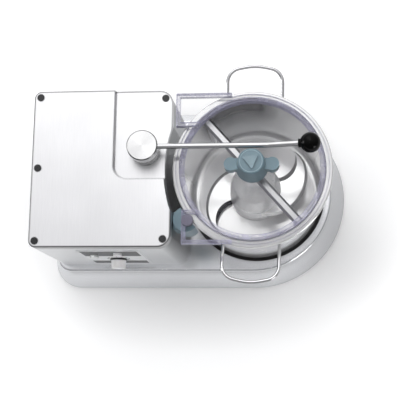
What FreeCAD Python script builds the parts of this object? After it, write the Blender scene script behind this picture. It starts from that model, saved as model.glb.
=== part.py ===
import FreeCAD, Part
import Sketcher
import math
import os
import re
from types import SimpleNamespace
from FreeCAD import Placement, Rotation, Vector

# A table-top cutter mixer: a motor tower stands on a long hollow base, and drives, by a belt inside
# the base, the upright cutter spindle in a round bowl.  A lever on the tower bars the clear lid.
# X runs along the base from the tower to the bowl, Y across it to the back, Z up from the table.
# X = 0 and Y = 0 are the middle of the base.

SIZES = {
    # bowl
    "bowl_radius": 112,
    "bowl_foot_radius": 109,
    "bowl_wall": 2,
    "bowl_floor": 3,
    "bowl_foot_round": 9,
    "floor_radius": 96,
    "rim_radius": 120,
    "rim_thickness": 4.5,
    "rim_chamfer": 1.5,
    "rim_round": 2,
    "rim_level": 244,
    "tube_radius": 28.5,
    "tube_level": 125,
    "tube_clearance": 1.5,
    "seat_gap": 0.3,
    "seat_ring_inner": 106,
    "seat_ring_height": 1.5,
    # wire handles of the bowl
    "wire_radius": 2.6,
    "handle_width": 85,
    "handle_reach": 170,
    "handle_bend": 22,
    "handle_crown": 9,
    "handle_crown_bend": 75,
    "handle_root_level": 211,
    "handle_tip_level": 223,
    "handle_turn": -1.5,
    # base casting
    "recess_radius": 115,
    "recess_depth": 10,
    "recess_floor": 5,
    "deck_land": 17,
    "deck_level": 60,
    "round_end_shift": 5.5,
    "bead_height": 10,
    "bead_round": 4.5,
    "bead_overhang": 1.5,
    "bead_corner": 24,
    "skirt_flare": 23,
    "skirt_flare_left": 14,
    "skirt_lip": 5,
    "skirt_tuck": 3,
    "casting_wall": 4,
    # base plate and feet
    "plate_thickness": 2,
    "plate_gap": 0.5,
    "foot_height": 6,
    "foot_radius": 16,
    "foot_taper": 2,
    "foot_spread_left": 214,
    "foot_spread_right": 172,
    "foot_half_track_left": 116,
    "foot_half_track_right": 92,
    # motor tower
    "tower_clearance": 9.8,
    "hollow_depth": 11,
    "hollow_half_width": 66,
    "tower_length": 213,
    "tower_width": 241,
    "tower_margin": 6,
    "tower_draft": 8,
    "tower_corner_left": 11,
    "tower_corner_right": 20,
    "housing_wall": 4,
    "core_gap": 0.5,
    "knob_hole_gap": 1,
    "tower_height": 262,
    "cover_height": 18,
    "cover_wall": 3,
    "cover_round": 2,
    "panel_length": 87,
    "panel_front": 16,
    "panel_drop": 8,
    "panel_corner": 19,
    "panel_slope": 2,
    "panel_overrun": 30,
    "cap_radius": 5.5,
    "cap_height": 2.5,
    "cap_proud": 1,
    "cap_inset": 10,
    "cap_inset_across": 11.5,
    "boss_radius": 7.6,
    "boss_height": 40,
    "screw_clearance": 2,
    "screw_radius": 2.5,
    "slot_count": 9,
    "slot_width": 3.4,
    "slot_pitch": 9,
    "slot_height": 60,
    "slot_level": 120,
    # lever
    "lever_inset": 41,
    "lever_across": 26.3,
    "stud_radius": 6,
    "stud_head_radius": 10,
    "stud_drop": 12,
    "stud_head_height": 3,
    "stud_top_gap": 1,
    "washer_radius": 16,
    "washer_thickness": 1.7,
    "running_gap": 0.05,
    "head_radius": 23,
    "head_height": 34,
    "head_cap": 5,
    "head_step": 1,
    "head_step_level": 17,
    "head_step_rise": 2,
    "head_chamfer": 1.5,
    "head_foot_chamfer": 2,
    "groove_count": 3,
    "groove_pitch": 4,
    "groove_run": 0.8,
    "head_groove": 1.6,
    "rod_radius": 4,
    "rod_below_top": 9,
    "rod_under_knob": 11,
    "rod_length": 185,
    "rod_bend_radius": 60,
    "rod_bend_angle": 10,
    "rod_tail": 46,
    "rod_socket": 14,
    "ball_radius": 15,
    "ball_bore_depth": 13,
    "neck_wall": 2.5,
    "neck_length": 2,
    # lid
    "lid_gap": 0.5,
    "lid_plate_thickness": 4,
    "lid_round": 1.2,
    "lid_flange_radius": 115,
    "lid_ring_radius": 109,
    "lid_ring_inner": 101,
    "lid_ring_height": 9.5,
    "skirt_radius": 107.5,
    "skirt_wall": 3,
    "skirt_depth": 14,
    "gasket_height": 4,
    "gasket_gap": 0.6,
    "gasket_lift": 3,
    "ear_back_reach": 114,
    "ear_front_reach": 104,
    "ear_end": 115,
    "ear_start": 64,
    "ear_wall": 6,
    "ear_height": 11.5,
    "ear_overlap": 30,
    "magnet_x": 95,
    "magnet_y": 80,
    "magnet_boss_radius": 7,
    "magnet_boss_height": 15,
    "magnet_radius": 5,
    "magnet_height": 6,
    "bush_radius": 11,
    "bush_flange": 15,
    "bush_flange_height": 2,
    # scraper
    "scraper_angle": 131.6,
    "shaft_radius": 7,
    "bar_reach": 107,
    "bar_width": 14,
    "bar_thickness": 6,
    "bar_bevel": 3.5,
    "bar_edge": 2,
    "bar_level": 222,
    "blade_arm_width": 12,
    "blade_arm_thickness": 4,
    "blade_arm_foot": 112,
    "blade_arm_reach": 107.2,
    "knob_foot_radius": 24,
    "knob_top_radius": 19,
    "knob_foot_level": 253,
    "knob_top_level": 292,
    "knob_round": 2.5,
    "knob_bore_share": 0.7,
    "wing_reach": 40.5,
    "wing_radius": 10,
    "wing_web_share": 0.85,
    "wing_height": 17,
    "wing_level": 258,
    "pointer_radius": 13.5,
    "pointer_height": 5,
    "pointer_blunt": 1.5,
    "pointer_turn": 37,
    # cutter spindle
    "spindle_radius": 10,
    "spindle_foot": 12,
    "spindle_top": 150,
    "hexagon_level": 129,
    "hexagon_flats": 17,
    "hexagon_gap": 0.3,
    "bearing_radius": 21,
    "bearing_height": 12,
    "spindle_tube_radius": 25,
    "spindle_tube_top": 115,
    "spindle_flange_radius": 46,
    "spindle_flange_height": 6,
    "spindle_bolt_circle": 76,
    "screw_head_height": 3,
    "screw_head_share": 1.8,
    "seal_height": 6,
    # cutter
    "sleeve_radius": 34,
    "sleeve_bore": 30.5,
    "sleeve_foot_level": 57,
    "sleeve_flange_height": 5,
    "cutter_foot_radius": 45,
    "cutter_mid_radius": 41.5,
    "cutter_shoulder_radius": 34.5,
    "cutter_shoulder_level": 148,
    "cutter_top": 172,
    "cutter_top_radius": 12,
    "sleeve_head_radius": 18,
    "sleeve_head_top": 156,
    "cavity_top": 129,
    "sleeve_roof": 4,
    "cap_round": 8,
    "blade_thickness": 3,
    "upper_blade_level": 96,
    "blade_root_radius": 44,
    "blade_start": 103,
    "blade_sweep": 121,
    "blade_rise": 59,
    "blade_tip_fall": 13,
    "blade_bevel": 6,
    "blade_land": 0.5,
    "blade_tip_bevel_share": 0.25,
    "blade_root_overlap": 1,
    "blade_scoop_radius": 35,
    "blade_scoop_centre": 60,
    "blade_scoop_lag": 16,
    # motor and belt drive
    "motor_radius": 62,
    "motor_level": 64,
    "motor_height": 128,
    "shield_height": 14,
    "motor_wall": 6,
    "stator_bore": 34,
    "stator_inset": 5,
    "rotor_inset": 7,
    "rotor_gap": 0.6,
    "motor_shaft_radius": 9,
    "motor_shaft_foot": 14,
    "shield_flange": 9,
    "motor_bolt_circle": 133,
    "motor_bolt_radius": 3,
    "fan_radius": 52,
    "fan_height": 14,
    "fan_gap": 10,
    "shaft_end": 6,
    "fan_blades": 8,
    "deck_motor_hole": 36,
    "motor_pulley_radius": 30,
    "driven_pulley_radius": 48,
    "pulley_level": 17,
    "pulley_height": 18,
    "pulley_flange": 3,
    "pulley_lip": 2,
    "pulley_edge": 1,
    "nut_height": 4,
    "belt_thickness": 4,
    "belt_gap": 0.3,
    "belt_side_gap": 0.5,
    # controls on the front wall
    "control_x": -118,
    "control_width": 96,
    "control_foot": 88,
    "control_height": 140,
    "control_thickness": 1.2,
    "knob_x": -115,
    "knob_level": 146,
    "knob_radius": 12,
    "knob_length": 15,
    "knob_skirt_radius": 13.5,
    "knob_skirt_height": 2,
    "knob_taper": 0.8,
    "knob_gap": 0.5,
    "knob_shaft_radius": 3,
    "button_radius": 6.5,
    "button_proud": 4,
    "button_travel": 2.5,
    "button_gap": 0.3,
    "button_stem_radius": 4,
    "button_stem_length": 8,
    "button_spare": 0.5,
    "start_x": -146,
    "start_level": 186,
    "stop_x": -106,
    "stop_level": 205,
    "board_thickness": 2,
    "board_inset": 6,
    "board_back": 10,
    # lid locator, lid switch and cable gland
    "locator_x": 99,
    "locator_y": 76,
    "locator_radius": 19,
    "locator_height": 50,
    "locator_gap": 1.5,
    "locator_pad_drop": 14,
    "locator_drop": 1,
    "locator_pad_share": 0.7,
    "locator_pad_overlap": 2,
    "switch_length": 24,
    "switch_depth": 10,
    "switch_drop": 6,
    "switch_inset": 8.5,
    "gland_x": -180,
    "gland_level": 88,
    "gland_radius": 10,
    "gland_length": 16,
    "gland_wall": 2,
    "gland_thread": 8,
    "gland_dome_share": 0.4,
    "gland_dome_taper": 3,
    "gland_nut_height": 5,
    "gland_bore": 4.5,
}

# Places worked out from the sizes above.
LAYOUT = {
    "left_reach": "rim_radius + tower_clearance - hollow_depth + tower_length + tower_margin"
                  " + skirt_flare_left",
    "right_reach": "recess_radius + deck_land + skirt_flare - round_end_shift",
    "bowl_x": "(left_reach - right_reach) / 2",
    "base_left": "-(left_reach + right_reach) / 2",
    "round_x": "bowl_x - round_end_shift",
    "deck_half_width": "recess_radius + deck_land",
    "tower_right": "bowl_x - rim_radius - tower_clearance + hollow_depth",
    "tower_left": "tower_right - tower_length",
    "tower_front": "-tower_width / 2",
    "recess_level": "deck_level - recess_depth",
    "bowl_foot": "recess_level + seat_gap",
    "cover_level": "tower_height - cover_height",
    "panel_level": "tower_height - panel_drop",
    "lever_x": "tower_right - lever_inset",
    "head_foot": "panel_level + washer_thickness + 0.3",
    "rod_level": "max(head_foot + head_height - rod_below_top; knob_top_level - rod_under_knob)",
    "head_top": "rod_level + rod_below_top",
    "lid_level": "rim_level + lid_gap",
    "lid_top": "lid_level + lid_plate_thickness",
    "fan_level": "motor_level + motor_height + fan_gap",
    "motor_shaft_top": "fan_level + fan_height + shaft_end",
    "motor_x": "(tower_left + tower_right) / 2 + 2",
    "lower_blade_level": "sleeve_foot_level + sleeve_flange_height",
}

NODES = {}


def cell_names(text):
    """Write each size's name in an expression as its cell."""
    def with_sheet(word):
        name = word.group(0)
        if name in SIZES:
            return "sizes." + name
        return "layout." + name if name in LAYOUT else name
    return re.sub(r"[a-z_]+[a-z]", with_sheet, text)


def make_sheets(doc):
    """The driving sizes as plain numbers, and the layout worked out from them."""
    sizes = doc.addObject("Spreadsheet::Sheet", "sizes")
    for row, (name, number) in enumerate(SIZES.items(), start=1):
        sizes.set(f"A{row}", name)
        sizes.set(f"B{row}", str(number))
        sizes.setAlias(f"B{row}", name)
    layout = doc.addObject("Spreadsheet::Sheet", "layout")
    for row, name in enumerate(LAYOUT, start=1):
        layout.set(f"A{row}", name)
        layout.setAlias(f"B{row}", name)
    doc.recompute()
    for row, text in enumerate(LAYOUT.values(), start=1):
        layout.set(f"B{row}", "=" + re.sub(r"layout\.", "", cell_names(text)))
    doc.recompute()
    numbers = {name: float(sizes.get(name)) for name in SIZES}
    numbers.update({name: float(layout.get(name)) for name in LAYOUT})
    return SimpleNamespace(**numbers)


def bind(thing, **expressions):
    """Tie properties to the sheets; a double underscore stands for a dot."""
    for name, text in expressions.items():
        thing.setExpression(name.replace("__", "."), cell_names(str(text)))


def bind_place(thing, x="0", y="0", z="0"):
    bind(thing, Placement__Base__x=x, Placement__Base__y=y, Placement__Base__z=z)


AXES = {
    "z": Rotation(),
    "x": Rotation(Vector(0, 1, 0), 90),
    "y": Rotation(Vector(1, 0, 0), -90),
}


def cylinder(radius, height, x="bowl_x", y="0", z="0", axis="z"):
    made = doc.addObject("Part::Cylinder", "cylinder")
    made.Placement = Placement(Vector(), AXES[axis])
    bind(made, Radius=radius, Height=height)
    bind_place(made, x, y, z)
    return made


def cone(foot, top, height, x="bowl_x", y="0", z="0", axis="z"):
    made = doc.addObject("Part::Cone", "cone")
    made.Placement = Placement(Vector(), AXES[axis])
    bind(made, Radius1=foot, Radius2=top, Height=height)
    bind_place(made, x, y, z)
    return made


def box(length, width, height, x, y, z):
    made = doc.addObject("Part::Box", "box")
    bind(made, Length=length, Width=width, Height=height)
    bind_place(made, x, y, z)
    return made


def hexagon(flats, height, x, y, z):
    made = doc.addObject("Part::Prism", "hexagon")
    made.Polygon = 6
    bind(made, Circumradius=f"({flats}) / 2 / cos(30)", Height=height)
    bind_place(made, x, y, z)
    return made


def cut(base, *tools):
    tool = tools[0] if len(tools) == 1 else fuse(*tools)
    made = doc.addObject("Part::Cut", "cut")
    made.Base = base
    made.Tool = tool
    return made


def fuse(*parts):
    made = doc.addObject("Part::MultiFuse", "fuse")
    made.Shapes = list(parts)
    return made


def common(*parts):
    made = doc.addObject("Part::MultiCommon", "common")
    made.Shapes = list(parts)
    return made


def group(*parts):
    """Separate alike solids kept as one sub-part."""
    made = doc.addObject("Part::Compound", "set")
    made.Links = list(parts)
    return made


def node(name, thing):
    """Give a finished sub-part its name."""
    thing.Label = name
    NODES[name] = thing
    return thing


def solid_node(name, shape):
    """A sub-part whose shape is worked out in code."""
    thing = doc.addObject("Part::Feature", name)
    thing.Shape = shape
    return node(name, thing)


def held(shape):
    """A shape worked out in code that a boolean uses."""
    thing = doc.addObject("Part::Feature", "held")
    thing.Shape = shape
    return thing


# Where an outline's corners are drawn before their expressions move them.
FIRST_CENTRE = (50, 50, 0)
FIRST_RADIUS = 40


def corner_sketch(body, plane, corners):
    """A closed outline of straight edges whose every corner is set by two expressions."""
    sketch = body.newObject("Sketcher::SketchObject", "outline")
    origin = [item for item in body.Origin.OriginFeatures if item.Role == plane][0]
    sketch.AttachmentSupport = [(origin, "")]
    sketch.MapMode = "FlatFace"
    count = len(corners)
    start = []
    for i in range(count):
        angle = 2 * math.pi * i / count
        start.append(Vector(*FIRST_CENTRE) + Vector(math.cos(angle), math.sin(angle), 0) * FIRST_RADIUS)
    for i in range(count):
        sketch.addGeometry(Part.LineSegment(start[i], start[(i + 1) % count]), False)
    for i in range(count):
        sketch.addConstraint(Sketcher.Constraint("Coincident", i, 2, (i + 1) % count, 1))
    for i, corner in enumerate(corners):
        for direction, text in zip(("DistanceX", "DistanceY"), corner):
            along = start[i].x if direction == "DistanceX" else start[i].y
            index = sketch.addConstraint(Sketcher.Constraint(direction, -1, 1, i, 1, along))
            sketch.setExpression(f"Constraints[{index}]", cell_names(str(text)))
    return sketch


def turned(name, corners, x="bowl_x", y="0"):
    """A body turned about the upright line through (x, y); corners are (radius, level) pairs."""
    body = doc.addObject("PartDesign::Body", name + "_body")
    sketch = corner_sketch(body, "XZ_Plane", corners)
    turn = body.newObject("PartDesign::Revolution", "turn")
    turn.Profile = sketch
    turn.ReferenceAxis = (sketch, ["V_Axis"])
    turn.Angle = 360
    body.Tip = turn
    bind_place(body, x, y)
    return body


def rounded(body, radius, wanted):
    """Fillet the edges of a body's last feature that the test picks."""
    doc.recompute()
    last = body.Tip
    names = [f"Edge{i}" for i, edge in enumerate(last.Shape.Edges, start=1) if wanted(edge)]
    fillet = body.newObject("PartDesign::Fillet", "round")
    fillet.Base = (last, names)
    bind(fillet, Radius=radius)
    body.Tip = fillet
    return body


def at_ring(*rings):
    """A test for round edges of the given (radius, level) pairs."""
    def wanted(edge):
        curve = edge.Curve
        if not isinstance(curve, Part.Circle):
            return False
        return any(abs(curve.Radius - radius) < 0.01 and abs(edge.BoundBox.ZMin - level) < 0.01
                   for radius, level in rings)
    return wanted


def base_outline(left, half_width, corner, level):
    """Straight sides, two round corners at the tower's end and a half round at the bowl's end."""
    mid = s.round_x
    far = left + corner
    lean = corner * (1 - math.sqrt(0.5))
    top = half_width - corner
    points = [
        Vector(mid, -half_width, level), Vector(mid, half_width, level),
        Vector(far, half_width, level), Vector(left, top, level),
        Vector(left, -top, level), Vector(far, -half_width, level),
    ]
    edges = [
        Part.Arc(points[0], Vector(mid + half_width, 0, level), points[1]).toShape(),
        Part.LineSegment(points[1], points[2]).toShape(),
        Part.Arc(points[2], Vector(left + lean, half_width - lean, level), points[3]).toShape(),
        Part.LineSegment(points[3], points[4]).toShape(),
        Part.Arc(points[4], Vector(left + lean, lean - half_width, level), points[5]).toShape(),
        Part.LineSegment(points[5], points[0]).toShape(),
    ]
    return Part.Wire(edges)


def tower_outline(level, inset=0.0, draft=0.0):
    """A rectangle with round corners whose bowl side is hollowed by a shallow arc."""
    left = s.tower_left + inset
    right = s.tower_right + draft - inset
    half = s.tower_width / 2 - inset
    near = s.tower_corner_left - inset
    wide = s.tower_corner_right + draft / 2 - inset
    hollow = s.hollow_half_width
    dip = right - s.hollow_depth
    slant = 1 - math.sqrt(0.5)

    def spot(x, y):
        return Vector(x, y, level)

    edges = [
        Part.LineSegment(spot(left + near, -half), spot(right - wide, -half)),
        Part.Arc(spot(right - wide, -half), spot(right - wide * slant, wide * slant - half),
                 spot(right, wide - half)),
        Part.LineSegment(spot(right, wide - half), spot(right, -hollow)),
        Part.Arc(spot(right, -hollow), spot(dip, 0), spot(right, hollow)),
        Part.LineSegment(spot(right, hollow), spot(right, half - wide)),
        Part.Arc(spot(right, half - wide), spot(right - wide * slant, half - wide * slant),
                 spot(right - wide, half)),
        Part.LineSegment(spot(right - wide, half), spot(left + near, half)),
        Part.Arc(spot(left + near, half), spot(left + near * slant, half - near * slant),
                 spot(left, half - near)),
        Part.LineSegment(spot(left, half - near), spot(left, near - half)),
        Part.Arc(spot(left, near - half), spot(left + near * slant, near * slant - half),
                 spot(left + near, -half)),
    ]
    return Part.Wire([edge.toShape() for edge in edges])


def prism(wire, height):
    return Part.Face(wire).extrude(Vector(0, 0, height))


def loft(*wires):
    return Part.makeLoft(list(wires), True, True)


def tube_along(points, radius, *bends):
    """A round bar along straight runs joined by tangent arcs, one bend radius for each corner."""
    edges = []
    start = points[0]
    for before, at, after, bend in zip(points, points[1:], points[2:], bends):
        come = (at - before).normalize()
        go = (after - at).normalize()
        half = come.getAngle(go) / 2
        reach = bend * math.tan(half)
        enter = at - come * reach
        leave = at + go * reach
        middle = at + (go - come).normalize() * (bend / math.cos(half) - bend)
        edges.append(Part.LineSegment(start, enter).toShape())
        edges.append(Part.Arc(enter, middle, leave).toShape())
        start = leave
    edges.append(Part.LineSegment(start, points[-1]).toShape())
    path = Part.Wire(edges)
    ring = Part.Wire([Part.makeCircle(radius, points[0], points[1] - points[0])])
    return path.makePipeShell([ring], True, False)


def make_base():
    """The hollow base: flared skirt, rounded bead, flat deck and the round recess for the bowl."""
    bead_left = s.tower_left - s.tower_margin
    crease = s.deck_level - s.bead_height
    lip = s.foot_height + s.skirt_lip

    def skirt_wire(left, half_width, inset, level):
        corner = s.bead_corner + half_width - s.deck_half_width
        return base_outline(left + inset, half_width - inset, corner - inset, level)

    def skirt(inset, low, high):
        widest = s.deck_half_width + s.skirt_flare
        return loft(
            skirt_wire(s.base_left, widest, s.skirt_tuck + inset, low),
            skirt_wire(s.base_left, widest, inset, lip),
            skirt_wire(bead_left, s.deck_half_width, s.bead_overhang + inset, high))

    bead = prism(base_outline(bead_left, s.deck_half_width, s.bead_corner, crease), s.bead_height)
    bead_edges = [edge for edge in bead.Edges if edge.BoundBox.ZLength < 0.01]
    bead = bead.makeFillet(s.bead_round, bead_edges)
    body = skirt(0, s.foot_height, crease).fuse(bead)
    body = body.cut(skirt(s.casting_wall, s.foot_height, s.deck_level - s.casting_wall))
    axis = Vector(s.bowl_x, 0, 0)
    up = Vector(0, 0, 1)
    floor_foot = s.recess_level - s.recess_floor
    floor_height = s.deck_level - s.casting_wall / 2 - floor_foot
    floor = Part.makeCylinder(s.recess_radius + s.casting_wall, floor_height, axis + up * floor_foot)
    recess = Part.makeCylinder(s.recess_radius, s.recess_depth + 1, axis + up * s.recess_level)
    spindle_hole = Part.makeCylinder(s.spindle_tube_radius + s.running_gap, s.deck_level, axis)
    motor_hole = Part.makeCylinder(s.deck_motor_hole, s.deck_level, Vector(s.motor_x, 0, floor_foot))
    body = body.fuse(floor).cut(recess).cut(spindle_hole).cut(motor_hole)
    for angle in range(45, 360, 90):
        turn = math.radians(angle)
        spot = axis + Vector(math.cos(turn), math.sin(turn), 0) * (s.spindle_bolt_circle / 2)
        body = body.cut(Part.makeCylinder(s.screw_radius, s.recess_floor * 3, spot + up * (floor_foot - 1)))
    solid_node("base_casting", body.removeSplitter())

    ring = cylinder("recess_radius - seat_gap", "seat_ring_height", "bowl_x", "0", "recess_level")
    bore = cylinder("seat_ring_inner", "seat_ring_height * 3", z="recess_level - seat_ring_height")
    node("seat_ring", cut(ring, bore))

    plate_outer = s.deck_half_width + s.skirt_flare
    inset = s.skirt_tuck + s.casting_wall + s.plate_gap
    wire = skirt_wire(s.base_left, plate_outer, inset, s.foot_height)
    plate = held(prism(wire, s.plate_thickness))
    spots = foot_spots()
    bores = [cylinder("screw_radius", "plate_thickness * 3", x, y, "foot_height - plate_thickness")
             for x, y in spots]
    node("base_plate", cut(plate, *bores))
    feet = []
    screws = []
    for x, y in spots:
        pad = cone("foot_radius - foot_taper", "foot_radius", "foot_height", x, y, "0")
        sink = cylinder("screw_radius * 2", "foot_height / 2", x, y, "0")
        bore = cylinder("screw_radius", "foot_height", x, y, "0")
        feet.append(cut(pad, sink, bore))
        shank = cylinder("screw_radius", "foot_height + plate_thickness", x, y, "foot_height / 2")
        head = cylinder("screw_radius * 2", "foot_height / 3", x, y, "foot_height / 6")
        screws.append(fuse(shank, head))
    node("rubber_feet", group(*feet))
    node("foot_screws", group(*screws))


def foot_spots():
    return [("-foot_spread_left", "-foot_half_track_left"), ("-foot_spread_left", "foot_half_track_left"),
            ("foot_spread_right", "-foot_half_track_right"), ("foot_spread_right", "foot_half_track_right")]


def cover_spots():
    """The five fastenings of the top cover: four corners and the middle of the left edge."""
    left = "tower_left + cap_inset"
    right = "tower_right - cap_inset_across"
    side = "tower_width / 2 - cap_inset"
    return [(left, f"-({side})", "tower_height"), (left, side, "tower_height"), (left, "0", "tower_height"),
            (right, f"-({side} - 2)", "tower_height"), (right, f"{side} - 2", "panel_level")]


def make_tower():
    """The motor housing with its draft towards the bowl, its screw bosses and the cooling slots."""
    shell = loft(tower_outline(s.deck_level, 0, s.tower_draft), tower_outline(s.cover_level))
    core = loft(tower_outline(s.deck_level, s.housing_wall, s.tower_draft),
                tower_outline(s.cover_level, s.housing_wall))
    shell = held(shell.cut(core))
    bosses = []
    holes = []
    for x, y, _ in cover_spots():
        bosses.append(cylinder("boss_radius", "boss_height", x, y, "cover_level - boss_height"))
        holes.append(cylinder("screw_radius", "boss_height / 2", x, y, "cover_level - boss_height / 2"))
    inside = held(loft(tower_outline(s.deck_level, s.core_gap, s.tower_draft),
                       tower_outline(s.cover_level, s.core_gap)))
    slots = []
    for i in range(int(s.slot_count)):
        x = f"motor_x + ({i} - (slot_count - 1) / 2) * slot_pitch - slot_width / 2"
        slots.append(box("slot_width", "housing_wall * 3", "slot_height", x,
                         "tower_width / 2 - housing_wall * 2", "slot_level"))
    outside = "tower_front - housing_wall"
    knob_hole = cylinder("knob_shaft_radius + knob_hole_gap", "housing_wall * 3", "knob_x", outside,
                         "knob_level", "y")
    button_holes = [cylinder("button_radius + button_gap", "housing_wall * 3", f"{name}_x", outside,
                             f"{name}_level", "y") for name in ("start", "stop")]
    gland_hole = cylinder("gland_radius - gland_wall", "housing_wall * 3", "gland_x",
                          "tower_width / 2 - housing_wall * 2", "gland_level", "y")
    walls = fuse(shell, common(inside, fuse(*bosses)))
    node("motor_housing", cut(walls, knob_hole, gland_hole, *button_holes, *slots, *holes))


def make_cover():
    """The top cover: a shallow cap with the lowered panel that carries the lever."""
    height = s.tower_height - s.cover_level
    cap = prism(tower_outline(s.cover_level), height)
    top_edges = [edge for edge in cap.Edges
                 if edge.BoundBox.ZMin > s.tower_height - 0.01 and edge.BoundBox.ZLength < 0.01]
    cap = cap.makeFillet(s.cover_round, top_edges)
    cavity = prism(tower_outline(s.cover_level, s.cover_wall), height - s.cover_wall)

    def panel_wire(grow, level):
        left = s.tower_right - s.panel_length - grow
        front = -s.panel_front - grow
        corner = s.panel_corner + grow
        lean = corner * (1 - math.sqrt(0.5))
        far_x = s.tower_right + s.panel_overrun
        far_y = s.tower_width / 2 + s.panel_overrun
        points = [Vector(left + corner, front, level), Vector(far_x, front, level),
                  Vector(far_x, far_y, level), Vector(left, far_y, level),
                  Vector(left, front + corner, level)]
        edges = [Part.LineSegment(a, b).toShape() for a, b in zip(points, points[1:])]
        edges.append(Part.Arc(points[4], Vector(left + lean, front + lean, level), points[0]).toShape())
        return Part.Wire(edges)

    lowered = loft(panel_wire(0, s.panel_level), panel_wire(s.panel_slope, s.tower_height + 0.01))
    under_panel = prism(panel_wire(s.cover_wall, s.panel_level - s.cover_wall), height)
    shape = cap.cut(lowered).cut(cavity.cut(under_panel))
    stud_foot = Vector(s.lever_x, s.lever_across, s.cover_level)
    body = held(shape.cut(Part.makeCylinder(s.stud_radius, height * 2, stud_foot)))
    caps = []
    screws = []
    tools = []
    pillars = []
    shank_foot = "cover_level - boss_height / 2 + screw_clearance"
    for x, y, level in cover_spots():
        cap_foot = f"{level} - cap_height + cap_proud"
        caps.append(cylinder("cap_radius", "cap_height", x, y, cap_foot))
        tools.append(cylinder("cap_radius", "cap_height * 3", x, y, cap_foot))
        tools.append(cylinder("screw_radius", f"{level} - cover_level", x, y, "cover_level - 1"))
        pillars.append(cylinder("boss_radius", f"{level} - cover_level - 1", x, y, "cover_level"))
        shank_height = f"boss_height / 2 + {level} - cap_height - 1 - cover_level"
        screws.append(cylinder("screw_radius", shank_height, x, y, shank_foot))
    inner = held(prism(tower_outline(s.cover_level, s.core_gap), height))
    node("top_cover", cut(fuse(body, common(inner, fuse(*pillars))), *tools))
    node("cover_screws", group(*screws))
    node("screw_caps", group(*caps))


def make_lever():
    """The stud fixed in the lowered panel, and the turned head, bent rod and ball that swing on it."""
    x = "lever_x"
    y = "lever_across"
    stud_height = "head_top - head_cap - stud_top_gap - panel_level + stud_drop"
    stud = cylinder("stud_radius", stud_height, x, y, "panel_level - stud_drop")
    collar = cylinder("stud_head_radius", "stud_head_height", x, y,
                      "panel_level - cover_wall - stud_head_height")
    node("lever_stud", fuse(stud, collar))
    washer = cylinder("washer_radius", "washer_thickness", x, y, "panel_level")
    node("lever_washer", cut(washer, cylinder("stud_radius", "washer_thickness * 3", x, y,
                                              "panel_level - washer_thickness")))
    bore = "stud_radius + running_gap"
    waist = "head_radius - head_step"
    groove = f"{waist} - head_groove"
    corners = [(bore, "head_foot"), (f"{waist} - head_foot_chamfer", "head_foot"),
               (waist, "head_foot + head_foot_chamfer")]
    for i in range(int(s.groove_count)):
        low = f"head_foot + groove_pitch * {i + 1}"
        corners += [(waist, low), (groove, f"{low} + groove_run"), (groove, f"{low} + groove_run * 2"),
                    (waist, f"{low} + groove_run * 3")]
    corners += [(waist, "head_foot + head_step_level"),
                ("head_radius", "head_foot + head_step_level + head_step_rise"),
                ("head_radius", "head_top - head_chamfer"), ("head_radius - head_chamfer", "head_top"),
                ("0", "head_top"), ("0", "head_top - head_cap"), (bore, "head_top - head_cap")]
    head = turned("lever_head", corners, x, y)
    socket_x = "lever_x + head_radius - rod_socket"
    socket = cylinder("rod_radius", "rod_socket * 2", socket_x, y, "rod_level", "x")
    node("lever_head", cut(head, socket))

    rise = math.radians(s.rod_bend_angle)
    along = Vector(1, 0, 0)
    up = Vector(0, 0, 1)
    pivot = Vector(s.lever_x, s.lever_across, s.rod_level)
    knee = pivot + along * s.rod_length
    tail = along * math.cos(rise) + up * math.sin(rise)
    ball_centre = knee + tail * (s.rod_tail + s.ball_radius)
    root = pivot + along * (s.head_radius - s.rod_socket)
    tip = ball_centre - tail * (s.ball_radius - s.ball_bore_depth)
    solid_node("lever_rod", tube_along([root, knee, tip], s.rod_radius, s.rod_bend_radius))
    ball = Part.makeSphere(s.ball_radius, ball_centre)
    neck_reach = s.ball_radius + s.neck_length
    neck = Part.makeCylinder(s.rod_radius + s.neck_wall, neck_reach, ball_centre - tail * neck_reach, tail)
    bore_reach = s.ball_bore_depth * 2
    bore = Part.makeCylinder(s.rod_radius, bore_reach, tip - tail * bore_reach, tail)
    solid_node("ball_knob", ball.fuse(neck).cut(bore))


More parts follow.
